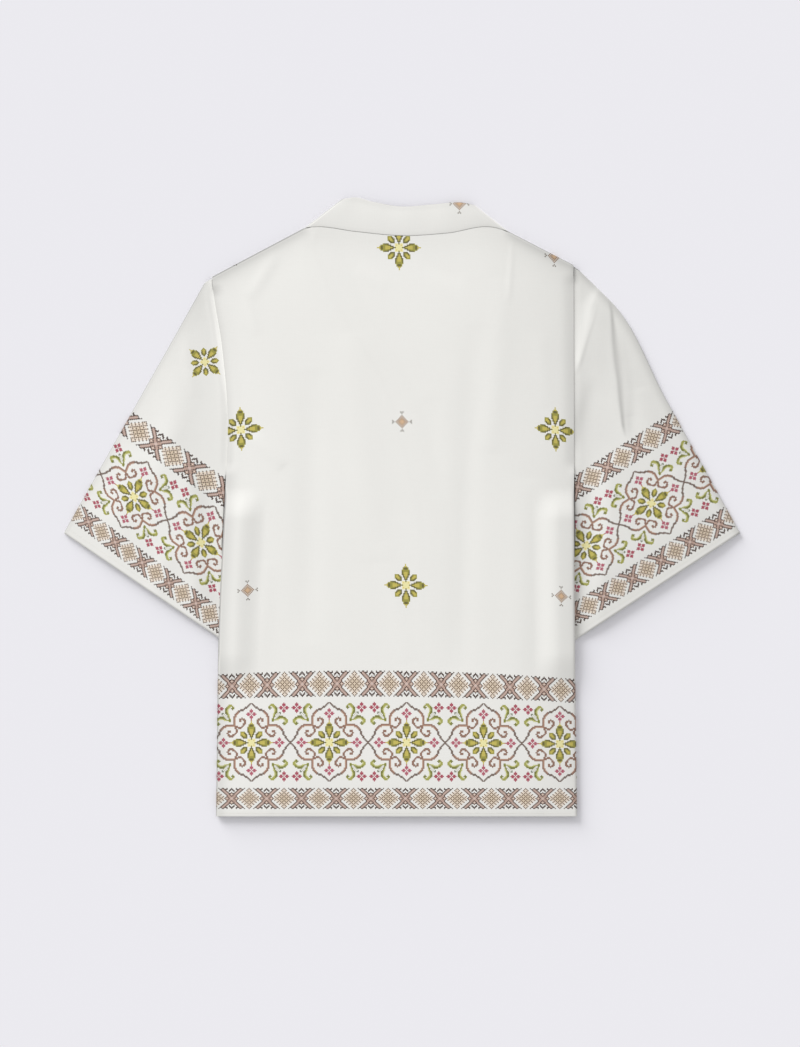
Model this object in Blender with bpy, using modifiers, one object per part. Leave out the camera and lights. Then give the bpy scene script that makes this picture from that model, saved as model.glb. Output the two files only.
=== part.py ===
"""Short-sleeve shirt, laid flat on its front with the back up.

Sizes are in millimetres until a mesh is made, which is in metres. Seen from above, +X is to the
right and +Y is towards the collar. +Z is up from the surface that the shirt lies on.
"""
from collections import namedtuple
import math

import bmesh
import bpy
import numpy as np

METRE = 0.001

# Cloth and seams
WALL = 1.2
BAND_WALL = 1.3
SEAM_GAP = 0.3
FOLD_GAP = 0.7

# Heights of the back panel's outer face above the surface
EDGE_TOP = 5.1
BACK_TOP = 7.9
HEM_TOP = 5.0
ARMHOLE_TOP = 4.3
FOLD_RADIUS = (EDGE_TOP - FOLD_GAP) / 2
BAND_CROWN = 0.7
CORNER_CLEAR = 1.5
EDGE_REACH = 22.0
ARMHOLE_REACH = 8.0
HEM_REACH = 14.0

# Columns of points near a panel's side edge, past those that round the fold
NEAR_EDGE = [9.0, 20.0, 40.0]

# Body
BACK_HEM_Y = -340.1
FRONT_HEM_Y = -338.6
UNDERARM_Y = 20.0

# How far the body's sides climb over the sleeves' underarm folds
SIDE_LIFT = 3.7
LIFT_TOP_Y = (22.0, -14.0)
LIFT_LOW_Y = (-205.0, -160.0)
LIFT_REACH = (46.0, 16.0)

# Sleeves
SLEEVE_FOLD = 1.6
SLEEVE_TOP = 6.4
SLEEVE_TUCK_TOP = 2.7
SLEEVE_TUCK = 6.0
SLEEVE_CLEAR = 0.5
SLEEVE_UNDER_BODY_Y = (-36.0, -120.0)
SLEEVE_FLAT_UNDER = 13.0
SLEEVE_NEAR_FOLD = [3.6, 7.0, 13.0, 24.0]
SLEEVE_LIP = [0.0, 0.6, 1.8]
SLEEVE_SQUEEZE_WIDTH = 70.0
CUFF_RISE = 0.35
ARMHOLE_RIDGE = 2.4

# Button stand
BAND_CLIMB = 2.3
CLIMB_REACH = (-6.5, -1.0)
BUTTON_RADIUS = 5.75
BUTTON_THICK = 1.7
BUTTON_CLEAR = 0.2
BUTTON_X = 42.9
BUTTON_TOP_Y = 20.0
BUTTON_PITCH = 70.0
BUTTON_COUNT = 5
BUTTON_RISE = 2.6
BUTTON_RISE_REACH = (14.0, 9.0)
BUTTON_SIDES = 14
HOLE_OFFSET = 1.3
HOLE_RADIUS = 0.85
HOLE_SIDES = 6

SideRow = namedtuple("SideRow", "y left right")
SIDE_EDGES = [
    SideRow(y=266.0, left=-208.9, right=188.4),
    SideRow(y=250.0, left=-208.5, right=188.5),
    SideRow(y=178.0, left=-198.0, right=188.7),
    SideRow(y=96.0, left=-191.4, right=188.9),
    SideRow(y=20.0, left=-194.0, right=189.0),
    SideRow(y=-102.0, left=-200.2, right=189.6),
    SideRow(y=-340.0, left=-204.6, right=192.5),
]

# The standing band at the back of the neck, from the left shoulder to the right one
BackBandRow = namedtuple("BackBandRow", "seam_x seam_y free_x free_y")
BACK_BAND = [
    BackBandRow(seam_x=-106.7, seam_y=306.9, free_x=-66.0, free_y=338.3),
    BackBandRow(seam_x=-95.0, seam_y=307.9, free_x=-56.0, free_y=339.9),
    BackBandRow(seam_x=-50.0, seam_y=302.6, free_x=-32.0, free_y=335.4),
    BackBandRow(seam_x=0.0, seam_y=298.2, free_x=0.0, free_y=330.2),
    BackBandRow(seam_x=50.0, seam_y=301.0, free_x=34.0, free_y=332.6),
    BackBandRow(seam_x=100.0, seam_y=307.4, free_x=68.0, free_y=334.2),
    BackBandRow(seam_x=116.6, seam_y=303.0, free_x=80.3, free_y=331.6),
]

# Each front band, from the shoulder down the V of the neck and the button stand
FrontBandRow = namedtuple("FrontBandRow", "seam_y seam_x free_x free_y")
LEFT_BAND = [
    FrontBandRow(seam_y=306.9, seam_x=-106.7, free_x=-66.0, free_y=338.3),
    FrontBandRow(seam_y=221.1, seam_x=-72.6, free_x=-42.9, free_y=235.4),
    FrontBandRow(seam_y=132.0, seam_x=-19.8, free_x=11.0, free_y=143.0),
    FrontBandRow(seam_y=61.6, seam_x=1.1, free_x=33.0, free_y=69.3),
    FrontBandRow(seam_y=0.0, seam_x=16.5, free_x=48.4, free_y=4.4),
    FrontBandRow(seam_y=-41.8, seam_x=20.9, free_x=53.9, free_y=-41.8),
    FrontBandRow(seam_y=-102.3, seam_x=22.0, free_x=55.0, free_y=-102.3),
    FrontBandRow(seam_y=FRONT_HEM_Y, seam_x=22.0, free_x=55.0, free_y=FRONT_HEM_Y),
]
RIGHT_BAND = [
    FrontBandRow(seam_y=303.0, seam_x=116.6, free_x=80.3, free_y=331.6),
    FrontBandRow(seam_y=216.7, seam_x=117.7, free_x=83.6, free_y=227.7),
    FrontBandRow(seam_y=161.7, seam_x=96.8, free_x=66.0, free_y=173.8),
    FrontBandRow(seam_y=73.7, seam_x=73.7, free_x=41.8, free_y=82.5),
    FrontBandRow(seam_y=11.0, seam_x=64.9, free_x=31.9, free_y=14.3),
    FrontBandRow(seam_y=-69.3, seam_x=63.8, free_x=30.8, free_y=-69.3),
    FrontBandRow(seam_y=FRONT_HEM_Y, seam_x=63.8, free_x=30.8, free_y=FRONT_HEM_Y),
]

PointRow = namedtuple("PointRow", "x y")
LEFT_SLEEVE_EDGE = [
    PointRow(x=-217.0, y=246.4),
    PointRow(x=-250.0, y=187.4),
    PointRow(x=-300.0, y=99.0),
    PointRow(x=-371.8, y=-28.6),
]
RIGHT_SLEEVE_EDGE = [
    PointRow(x=196.0, y=259.0),
    PointRow(x=214.5, y=241.0),
    PointRow(x=233.2, y=222.2),
    PointRow(x=290.0, y=119.0),
    PointRow(x=371.8, y=-28.6),
]

# One side of the shirt. The cuff corner is where the sleeve's hem meets its underarm fold.
Side = namedtuple("Side", "sign tip_y neck_x neck_y band sleeve_top_y sleeve_edge cuff_y under_body")
LEFT = Side(sign=-1, tip_y=253.0, neck_x=-106.7, neck_y=306.9, band=LEFT_BAND, sleeve_top_y=251.0,
            sleeve_edge=LEFT_SLEEVE_EDGE, cuff_y=-151.4, under_body=11.5)
RIGHT = Side(sign=1, tip_y=266.0, neck_x=116.6, neck_y=303.0, band=RIGHT_BAND, sleeve_top_y=264.0,
             sleeve_edge=RIGHT_SLEEVE_EDGE, cuff_y=-152.9, under_body=9.5)

# The turned outline of a button, from the centre of its back round the rim to the centre of its face
ProfileRow = namedtuple("ProfileRow", "radius height")
BUTTON_PROFILE = [
    ProfileRow(radius=0.0, height=BUTTON_THICK),
    ProfileRow(radius=BUTTON_RADIUS - 0.9, height=BUTTON_THICK),
    ProfileRow(radius=BUTTON_RADIUS, height=BUTTON_THICK - 0.6),
    ProfileRow(radius=BUTTON_RADIUS, height=0.4),
    ProfileRow(radius=BUTTON_RADIUS - 0.5, height=0.0),
    ProfileRow(radius=BUTTON_RADIUS - 1.4, height=0.0),
    ProfileRow(radius=BUTTON_RADIUS - 1.9, height=0.45),
    ProfileRow(radius=0.0, height=0.45),
]

# Folds, as soft ridges from one point to another, or troughs where the height is negative
FoldRow = namedtuple("FoldRow", "x0 y0 x1 y1 height width")
BACK_FOLDS = [
    FoldRow(x0=-137.0, y0=280.0, x1=-168.0, y1=230.0, height=1.5, width=7.0),
    FoldRow(x0=-162.0, y0=80.0, x1=-130.0, y1=44.0, height=1.3, width=8.0),
    FoldRow(x0=-98.0, y0=150.0, x1=-104.0, y1=-150.0, height=-1.0, width=16.0),
    FoldRow(x0=-60.0, y0=190.0, x1=-30.0, y1=-60.0, height=0.9, width=20.0),
    FoldRow(x0=78.0, y0=200.0, x1=64.0, y1=-180.0, height=-0.9, width=14.0),
    FoldRow(x0=112.0, y0=250.0, x1=98.0, y1=60.0, height=0.9, width=14.0),
    FoldRow(x0=138.0, y0=30.0, x1=128.0, y1=-220.0, height=0.9, width=18.0),
]
LEFT_SLEEVE_FOLDS = [
    FoldRow(x0=-232.0, y0=150.0, x1=-268.0, y1=20.0, height=1.6, width=16.0),
    FoldRow(x0=-290.0, y0=60.0, x1=-318.0, y1=-20.0, height=1.0, width=14.0),
]
RIGHT_SLEEVE_FOLDS = [
    FoldRow(x0=215.0, y0=246.0, x1=193.0, y1=150.0, height=2.8, width=9.0),
    FoldRow(x0=234.0, y0=214.0, x1=246.0, y1=90.0, height=-1.6, width=9.0),
    FoldRow(x0=262.0, y0=130.0, x1=290.0, y1=10.0, height=1.4, width=16.0),
]

# Colours of the cloth and the buttons
CLOTH_COLOUR = (0.83, 0.82, 0.80, 1.0)
BAND_COLOUR = (0.85, 0.84, 0.82, 1.0)
BUTTON_COLOUR = (0.78, 0.75, 0.69, 1.0)
CLOTH_ROUGHNESS = 0.9
BUTTON_ROUGHNESS = 0.35


def clear_scene():
    for item in list(bpy.data.objects):
        bpy.data.objects.remove(item, do_unlink=True)


def new_collection(name):
    collection = bpy.data.collections.new(name)
    bpy.context.scene.collection.children.link(collection)
    return collection


def new_material(name, colour, roughness):
    material = bpy.data.materials.new(name)
    material.use_nodes = True
    shader = material.node_tree.nodes["Principled BSDF"]
    shader.inputs["Base Color"].default_value = colour
    shader.inputs["Roughness"].default_value = roughness
    shader.inputs["Metallic"].default_value = 0.0
    return material


def smooth(start, end, value):
    """Goes from 0 at start to 1 at end with no corner. The start may be the larger number."""
    t = np.clip((value - start) / (end - start), 0.0, 1.0)
    return t * t * (3 - 2 * t)


def column(table, name):
    return np.array([getattr(row, name) for row in table], dtype=float)


def through(knots, values, at):
    """A smooth curve through the values at the knots, which stays level beyond the ends."""
    order = np.argsort(knots)
    knots = knots[order]
    values = values[order]
    slopes = np.gradient(values, knots)
    at = np.clip(at, knots[0], knots[-1])
    index = np.clip(np.searchsorted(knots, at, side="right") - 1, 0, len(knots) - 2)
    step = knots[index + 1] - knots[index]
    t = (at - knots[index]) / step
    start = (2 * t**3 - 3 * t**2 + 1) * values[index] + (t**3 - 2 * t**2 + t) * step * slopes[index]
    end = (3 * t**2 - 2 * t**3) * values[index + 1] + (t**3 - t**2) * step * slopes[index + 1]
    return start + end


def side_x(side, y):
    """The body's outline at one side."""
    name = "left" if side.sign < 0 else "right"
    return through(column(SIDE_EDGES, "y"), column(SIDE_EDGES, name), y)


def side_distance(side, x, y):
    """How far a point lies inside the body's outline at one side."""
    return (side_x(side, y) - x) * side.sign


def seam_x(side, y):
    """The seam between a front panel and its band."""
    return through(column(side.band, "seam_y"), column(side.band, "seam_x"), y)


def fold_steps():
    """Distances from an edge for the rows of points that round a panel's fold."""
    return FOLD_RADIUS * (1 - np.sin(np.radians([90.0, 78.0, 45.0, 0.0])))


def fold_drop(distance):
    """How far a panel has turned down, as a quarter circle, towards its fold."""
    inside = FOLD_RADIUS - np.clip(distance, 0.0, FOLD_RADIUS)
    return FOLD_RADIUS - np.sqrt(FOLD_RADIUS**2 - inside**2)


def armhole(side, y):
    """1 where the back laps over the sleeve's upper layer, and 0 at both ends of the armhole."""
    return smooth(side.tip_y - 8, side.tip_y - 22, y) * smooth(UNDERARM_Y + 14, UNDERARM_Y + 30, y)


def side_turn(y):
    """1 where the body's side is a fold, and 0 along the armhole."""
    return smooth(UNDERARM_Y + 5, UNDERARM_Y - 15, y)


def side_lift(x, y):
    """The rise of the body's sides over the sleeves that lie under them."""
    along = smooth(*LIFT_TOP_Y, y) * smooth(*LIFT_LOW_Y, y)
    from_left = smooth(*LIFT_REACH, side_distance(LEFT, x, y))
    from_right = smooth(*LIFT_REACH, side_distance(RIGHT, x, y))
    return SIDE_LIFT * along * (from_left + from_right)


def folds(table, x, y):
    """The sum of the table's ridges, each a bell across its line that fades at both ends."""
    total = np.zeros_like(x)
    for row in table:
        along_x = row.x1 - row.x0
        along_y = row.y1 - row.y0
        length = math.hypot(along_x, along_y)
        t = np.clip(((x - row.x0) * along_x + (y - row.y0) * along_y) / length**2, 0.0, 1.0)
        away = np.hypot(x - row.x0 - t * along_x, y - row.y0 - t * along_y)
        total += row.height * np.exp(-(away / row.width) ** 2) * np.sqrt(4 * t * (1 - t))
    return total


def button_places():
    return [BUTTON_TOP_Y - BUTTON_PITCH * index for index in range(BUTTON_COUNT)]


def button_rise(x, y):
    """The swelling of the button stand over each button."""
    total = np.zeros_like(x)
    for centre_y in button_places():
        total += smooth(*BUTTON_RISE_REACH, np.hypot(x - BUTTON_X, y - centre_y))
    return BUTTON_RISE * total


def band_climb(x, y):
    """The rise of the left front and its band over the right band's free edge."""
    free_x = through(column(RIGHT_BAND, "free_y"), column(RIGHT_BAND, "free_x"), y)
    return BAND_CLIMB * smooth(*CLIMB_REACH, x - free_x)


def grid_faces(rows, columns, upward):
    """Quads of a grid whose rows run down the shirt and whose columns run to the right."""
    faces = []
    for row in range(rows - 1):
        for col in range(columns - 1):
            corner = row * columns + col
            quad = (corner, corner + columns, corner + columns + 1, corner + 1)
            faces.append(quad if upward else quad[::-1])
    return faces


def cloth(name, points, faces, wall, material, collection):
    """Gives a wall to an open surface. The wall grows inwards from the outer face."""
    mesh = bpy.data.meshes.new(name)
    mesh.from_pydata((points.reshape(-1, 3) * METRE).tolist(), [], faces)
    mesh.shade_smooth()
    mesh.materials.append(material)
    item = bpy.data.objects.new(name, mesh)
    collection.objects.link(item)
    solidify = item.modifiers.new("wall", "SOLIDIFY")
    solidify.thickness = wall * METRE
    solidify.offset = -1.0
    solidify.use_quality_normals = True
    return item


def back_outline_y(x):
    """The upper edge of the back: shoulder, neck seam and shoulder."""
    neck = through(column(BACK_BAND, "seam_x"), column(BACK_BAND, "seam_y"), x) - SEAM_GAP
    left = np.interp(x, [side_x(LEFT, LEFT.tip_y), LEFT.neck_x], [LEFT.tip_y, LEFT.neck_y])
    right = np.interp(x, [RIGHT.neck_x, side_x(RIGHT, RIGHT.tip_y)], [RIGHT.neck_y, RIGHT.tip_y])
    return np.where(x < LEFT.neck_x, left, np.where(x > RIGHT.neck_x, right, neck))


def back_height(x, y, below_top):
    """Flat in the middle, lower at every edge, with the sides lifted over the sleeves."""
    left = side_distance(LEFT, x, y)
    right = side_distance(RIGHT, x, y)
    hem = y - BACK_HEM_Y
    rise = (1 - np.exp(-left / EDGE_REACH)) * (1 - np.exp(-right / EDGE_REACH))
    rise = rise * (1 - np.exp(-below_top / EDGE_REACH)) * (1 - np.exp(-hem / EDGE_REACH))
    lap = armhole(LEFT, y) * np.exp(-(left / ARMHOLE_REACH) ** 2)
    lap = lap + armhole(RIGHT, y) * np.exp(-(right / ARMHOLE_REACH) ** 2)
    at_hem = np.exp(-(hem / HEM_REACH) ** 2)
    edge = EDGE_TOP - (EDGE_TOP - ARMHOLE_TOP) * lap - (EDGE_TOP - HEM_TOP) * at_hem
    at_neck = smooth(LEFT.neck_x - 2, LEFT.neck_x + 8, x) * smooth(RIGHT.neck_x + 2, RIGHT.neck_x - 8, x)
    turned = side_turn(y) * (fold_drop(left) + fold_drop(right)) + (1 - at_neck) * fold_drop(below_top)
    crumple = folds(BACK_FOLDS, x, y) * rise
    return edge + rise * (BACK_TOP - edge) + crumple + side_lift(x, y) - turned


def body_rows():
    """Rows of the front and back: distances below the top edge, then shares of the rest of the length."""
    below = np.append(fold_steps(), [10.0, 24.0])
    lower = np.append(np.linspace(0.0, 1.0, 22)[1:-1], [0.985, 1.0])
    return below, lower


def neck_stations():
    """Places along the neck seam that the back and the neck band share, so that the seam stays even."""
    return np.concatenate([
        [LEFT.neck_x + 4.6], np.linspace(LEFT.neck_x + 16, RIGHT.neck_x - 16, 10), [RIGHT.neck_x - 4.6],
    ])


def back_points():
    near = np.append(fold_steps(), NEAR_EDGE)
    left_top = side_x(LEFT, LEFT.tip_y)
    right_top = side_x(RIGHT, RIGHT.tip_y)
    start = left_top + near[-1]
    end = right_top - near[-1]
    middle = np.concatenate([
        np.linspace(start, LEFT.neck_x, 4)[1:],
        neck_stations(),
        [RIGHT.neck_x],
        np.linspace(RIGHT.neck_x, end, 3)[1:-1],
    ])
    top_x = np.concatenate([left_top + near, middle, (right_top - near)[::-1]])
    share = (middle - start) / (end - start)
    top_y = back_outline_y(top_x)
    below, lower = body_rows()
    y = np.concatenate([
        top_y - below[:, None],
        (top_y - below[-1]) + lower[:, None] * (BACK_HEM_Y - top_y + below[-1]),
    ])
    left = side_x(LEFT, y)
    right = side_x(RIGHT, y)
    inner_left = left + near[-1]
    inner_right = right - near[-1]
    x = np.concatenate([
        left[:, :len(near)] + near,
        inner_left[:, len(near):-len(near)] + share * (inner_right - inner_left)[:, len(near):-len(near)],
        (right[:, -len(near):] - near[::-1]),
    ], axis=1)
    z = back_height(x, y, top_y - y)
    return np.stack([x, y, z], axis=-1)


def front_points(side):
    """Rows run straight from the side edge to the band's seam."""
    near = np.append(fold_steps(), NEAR_EDGE)
    below, lower = body_rows()
    start_y = side.tip_y - below[-1]
    outer_y = np.append(side.tip_y - below, start_y + lower * (FRONT_HEM_Y - start_y))
    inner_y = np.concatenate([neck_rows(side), stand_rows()[::3], [FRONT_HEM_Y]])
    outer_x = side_x(side, outer_y)
    inner_x = seam_x(side, inner_y) + side.sign * SEAM_GAP
    width = np.abs(inner_x - outer_x)[:, None]
    inner_share = np.linspace(0.0, 1.0, 5)[1:]
    share = np.concatenate([near / width, near[-1] / width + inner_share * (1 - near[-1] / width)], axis=1)
    x = outer_x[:, None] + share * (inner_x - outer_x)[:, None]
    y = outer_y[:, None] + share * (inner_y - outer_y)[:, None]
    below_top = np.append(below, np.full(len(lower), FOLD_RADIUS * 2))[:, None]
    z = side_lift(x, y) + side_turn(y) * fold_drop(side_distance(side, x, y)) + fold_drop(below_top)
    if side is LEFT:
        z = z + band_climb(x, y)
    return np.stack([x, y, z], axis=-1)


def neck_rows(side):
    """Heights of the rows down the V of the neck."""
    top = side.neck_y - fold_steps()
    return np.append(top, np.linspace(side.neck_y - 14.0, BUTTON_TOP_Y + BUTTON_PITCH / 2 + 14.0, 9))


def stand_rows():
    """Heights of the rows down the button stand, seven to a button's pitch."""
    return np.arange(BUTTON_TOP_Y + BUTTON_PITCH / 2, FRONT_HEM_Y, -BUTTON_PITCH / 7)


def clear_corner(seam, free, from_end):
    """Draws the seam edge back at a band's end, where its turned wall would reach the next panel."""
    along = (free - seam) / np.linalg.norm(free - seam, axis=1)[:, None]
    return seam + along * (CORNER_CLEAR * smooth(8.0, 2.0, from_end))[:, None]


def front_band_points(side):
    """Stations down the band, closer together along the button stand."""
    seam_y = np.concatenate([neck_rows(side), stand_rows(), [FRONT_HEM_Y]])
    knots = column(side.band, "seam_y")
    seam = np.stack([through(knots, column(side.band, "seam_x"), seam_y), seam_y], axis=-1)
    free_x = through(knots, column(side.band, "free_x"), seam_y)
    free_y = through(knots, column(side.band, "free_y"), seam_y)
    free = np.stack([free_x, free_y], axis=-1)
    seam = clear_corner(seam, free, side.neck_y - seam_y)
    across = np.array([0.0, 0.08, 0.25, 0.42, 0.6, 0.8, 1.0])[None, :, None]
    plan = seam[:, None] + across * (free - seam)[:, None]
    x = plan[..., 0]
    y = plan[..., 1]
    z = button_rise(x, y) + fold_drop(side.neck_y - seam_y)[:, None]
    if side is LEFT:
        z = z + band_climb(x, y)
    return np.stack([x, y, z], axis=-1)


def neck_band_points():
    """Rows from the free edge down to the seam, with stations from the left shoulder to the right one."""
    ends = np.array([0.0, 0.15, 1.6])
    stations = np.concatenate([LEFT.neck_x + ends, neck_stations(), (RIGHT.neck_x - ends)[::-1]])
    knots = column(BACK_BAND, "seam_x")
    seam = np.stack([stations, through(knots, column(BACK_BAND, "seam_y"), stations)], axis=-1)
    free_x = through(knots, column(BACK_BAND, "free_x"), stations)
    free_y = through(knots, column(BACK_BAND, "free_y"), stations)
    free = np.stack([free_x, free_y], axis=-1)
    seam = clear_corner(seam, free, np.minimum(stations - LEFT.neck_x, RIGHT.neck_x - stations))
    down = np.array([0.0, 0.25, 0.6, 0.88, 1.0])
    plan = free[None] + down[:, None, None] * (seam - free)[None]
    height = EDGE_TOP + BAND_CROWN * np.sqrt(4 * down * (1 - down))
    z = height[:, None] - fold_drop(end_distance(plan, 0)) - fold_drop(end_distance(plan, -1))
    return np.concatenate([plan, z[..., None]], axis=-1)


def end_distance(plan, station):
    """Distance of each point of a strip from the straight end at its first or last station."""
    free = plan[0, station]
    seam = plan[-1, station]
    along = (free - seam) / np.linalg.norm(free - seam)
    offset = plan - seam
    return np.abs(offset[..., 0] * along[1] - offset[..., 1] * along[0])


def outer_sleeve_edge(side, share):
    """A point at the given share of the length of the sleeve's long outer fold."""
    x = column(side.sleeve_edge, "x")
    y = column(side.sleeve_edge, "y")
    run = np.append(0.0, np.cumsum(np.hypot(np.diff(x), np.diff(y))))
    return through(run, x, share * run[-1]), through(run, y, share * run[-1])


def inner_sleeve_edge(side, y):
    """The sleeve's inner edge: just outside the body, then under it towards the cuff."""
    under = (side.under_body + SLEEVE_CLEAR) * smooth(*SLEEVE_UNDER_BODY_Y, y) - SLEEVE_CLEAR
    return side_x(side, y) - side.sign * under


def sleeve_rows(side):
    """Heights down the body's side of the sleeve's sections, and where its underarm fold starts."""
    above = np.linspace(side.sleeve_top_y, UNDERARM_Y + 12, 11)
    below = np.linspace(UNDERARM_Y + 1, side.cuff_y, 9)
    return np.append(above, below), len(above)


def sleeve_points(side):
    """Sections from the body's side to the outer fold, over the upper layer and back under."""
    inner_y, _ = sleeve_rows(side)
    inner_x = inner_sleeve_edge(side, inner_y)
    outer_x, outer_y = outer_sleeve_edge(side, (inner_y[0] - inner_y) / (inner_y[0] - inner_y[-1]))
    width = np.hypot(outer_x - inner_x, outer_y - inner_y)[:, None]
    lap = armhole(side, inner_y)[:, None]
    flat = smooth(UNDERARM_Y + 1, UNDERARM_Y + 12, inner_y)[:, None]
    squeeze = np.minimum(1.0, (width - SLEEVE_TUCK / 2) / SLEEVE_SQUEEZE_WIDTH)

    radius = SLEEVE_FOLD
    arc = np.radians([20.0, 50.0, 90.0])
    arc_in = radius * (1 - np.cos(arc))
    turned = np.append(arc_in, SLEEVE_NEAR_FOLD)
    lapped = np.append([-SLEEVE_TUCK, 0.0, SLEEVE_LIP[-1]], SLEEVE_NEAR_FOLD)
    flat_edge = np.append(SLEEVE_LIP, SLEEVE_NEAR_FOLD)
    open_edge = flat_edge + lap * (lapped - flat_edge)
    upper_in = (turned + flat * (open_edge - turned)) * squeeze
    lower_in = (turned + flat * (flat_edge - turned)) * squeeze
    arc_out = radius * (1 - np.cos(np.radians([90.0, 45.0, 0.0, 45.0, 90.0])))

    upper_mid = upper_in[:, -1:] + np.array([0.22, 0.45, 0.68, 0.86]) * (width - upper_in[:, -1:] - radius)
    lower_mid = lower_in[:, -1:] + np.array([0.75, 0.4]) * (width - lower_in[:, -1:] - radius)
    from_inner = np.concatenate([upper_in, upper_mid, width - arc_out, lower_mid, lower_in[:, ::-1]], axis=1)

    arc_height = np.append(np.sin(arc), np.ones(len(SLEEVE_NEAR_FOLD)))
    upper_level = arc_height + flat * (1 - arc_height)
    ones = np.ones_like(width)
    out_level = ones * np.sin(np.radians([90.0, 45.0, 0.0, -45.0, -90.0]))
    level = np.concatenate([
        upper_level, ones * np.ones(4), out_level, -ones * np.ones(2), -upper_level[:, ::-1],
    ], axis=1)

    x = inner_x[:, None] + from_inner / width * (outer_x - inner_x)[:, None]
    y = inner_y[:, None] + from_inner / width * (outer_y - inner_y)[:, None]
    upper = np.clip(level, 0.0, 1.0) ** 4
    z = radius * (1 + level) + upper * sleeve_rise(side, x, y, from_inner, width, lap, flat, inner_y)
    return np.stack([x, y, z], axis=-1)


def sleeve_rise(side, x, y, from_inner, width, lap, flat, inner_y):
    """What the upper layer stands above a plain flattened tube."""
    from_outer = width - from_inner
    open_start = smooth(0.0, 16.0, from_inner)
    fold_start = smooth(SLEEVE_FLAT_UNDER, SLEEVE_FLAT_UNDER + 37, from_inner)
    start = fold_start + flat * (open_start - fold_start)
    cuff = CUFF_RISE + (1 - CUFF_RISE) * smooth(0.0, 60.0, inner_y - side.cuff_y)[:, None]
    puff = (SLEEVE_TOP - 2 * SLEEVE_FOLD) * start * smooth(SLEEVE_FOLD, 34.0, from_outer) * cuff
    dip = (SLEEVE_TUCK_TOP - 2 * SLEEVE_FOLD) * lap * smooth(9.0, 0.0, from_inner)
    table = LEFT_SLEEVE_FOLDS if side is LEFT else RIGHT_SLEEVE_FOLDS
    crumple = folds(table, x, y) * smooth(1.0, 9.0, from_inner) * smooth(2.0, 22.0, from_outer)
    ridge = np.zeros_like(x)
    if side is LEFT:
        beside = smooth(0.2, 3.0, from_inner) * smooth(13.0, 4.0, from_inner)
        down = smooth(250.0, 225.0, inner_y) * smooth(70.0, 160.0, inner_y)
        ridge = ARMHOLE_RIDGE * beside * down[:, None]
    return puff + dip + crumple * start + ridge * lap


def make_sleeve(side, name, material, collection):
    """A tube that is open at the cuff and along the armhole, down to its underarm fold."""
    points = sleeve_points(side)
    rows, columns = points.shape[:2]
    _, closed_from = sleeve_rows(side)
    faces = grid_faces(rows, columns, upward=side.sign > 0)
    for row in range(closed_from, rows - 1):
        last = row * columns + columns - 1
        quad = (last, last + columns, (row + 1) * columns, row * columns)
        faces.append(quad if side.sign > 0 else quad[::-1])
    cloth(name, points, faces, WALL, material, collection)


def make_panel(name, points, upward, wall, material, collection):
    rows, columns = points.shape[:2]
    cloth(name, points, grid_faces(rows, columns, upward), wall, material, collection)


def make_hole_cutter(name, centre_y, collection):
    """Four thin rods, for the thread holes of one button."""
    mesh = bpy.data.meshes.new(name)
    rods = bmesh.new()
    radius = HOLE_RADIUS * METRE
    depth = BUTTON_THICK * 4 * METRE
    for x in (-HOLE_OFFSET, HOLE_OFFSET):
        for y in (-HOLE_OFFSET, HOLE_OFFSET):
            made = bmesh.ops.create_cone(
                rods, cap_ends=True, segments=HOLE_SIDES, radius1=radius, radius2=radius, depth=depth)
            bmesh.ops.translate(rods, verts=made["verts"], vec=(x * METRE, y * METRE, 0.0))
    rods.to_mesh(mesh)
    rods.free()
    cutter = bpy.data.objects.new(name, mesh)
    collection.objects.link(cutter)
    cutter.location = (BUTTON_X * METRE, centre_y * METRE, 0.0)
    cutter.hide_render = True
    cutter.display_type = "WIRE"
    return cutter


def make_button(index, centre_y, material, collection, cutters):
    """A turned disc with a raised rim on its lower face, which is the one that shows when worn."""
    name = f"button_{index}"
    mesh = bpy.data.meshes.new(name)
    points = [(row.radius * METRE, 0.0, row.height * METRE) for row in BUTTON_PROFILE]
    mesh.from_pydata(points, [(i, i + 1) for i in range(len(points) - 1)], [])
    mesh.materials.append(material)
    button = bpy.data.objects.new(name, mesh)
    collection.objects.link(button)
    button.location = (BUTTON_X * METRE, centre_y * METRE, BUTTON_CLEAR * METRE)
    screw = button.modifiers.new("turn", "SCREW")
    screw.steps = BUTTON_SIDES
    screw.render_steps = BUTTON_SIDES
    screw.use_merge_vertices = True
    screw.merge_threshold = 0.00001
    cut = button.modifiers.new("thread_holes", "BOOLEAN")
    cut.operation = "DIFFERENCE"
    cut.object = make_hole_cutter(f"{name}_holes", centre_y, cutters)


def build_shirt():
    clear_scene()
    parts = new_collection("short_sleeve_shirt")
    cutters = new_collection("cutters")
    for name, points, upward, wall, colour in [
        ("back", back_points(), True, WALL, CLOTH_COLOUR),
        ("front_left", front_points(LEFT), False, WALL, CLOTH_COLOUR),
        ("front_right", front_points(RIGHT), True, WALL, CLOTH_COLOUR),
        ("neck_band", neck_band_points(), True, BAND_WALL, BAND_COLOUR),
        ("front_band_left", front_band_points(LEFT), False, BAND_WALL, BAND_COLOUR),
        ("front_band_right", front_band_points(RIGHT), True, BAND_WALL, BAND_COLOUR),
    ]:
        make_panel(name, points, upward, wall, new_material(f"{name}_cloth", colour, CLOTH_ROUGHNESS), parts)
    for side, name in [(LEFT, "sleeve_left"), (RIGHT, "sleeve_right")]:
        make_sleeve(side, name, new_material(f"{name}_cloth", CLOTH_COLOUR, CLOTH_ROUGHNESS), parts)
    for index, centre_y in enumerate(button_places(), start=1):
        material = new_material(f"button_{index}_plastic", BUTTON_COLOUR, BUTTON_ROUGHNESS)
        make_button(index, centre_y, material, parts, cutters)


build_shirt()
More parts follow.
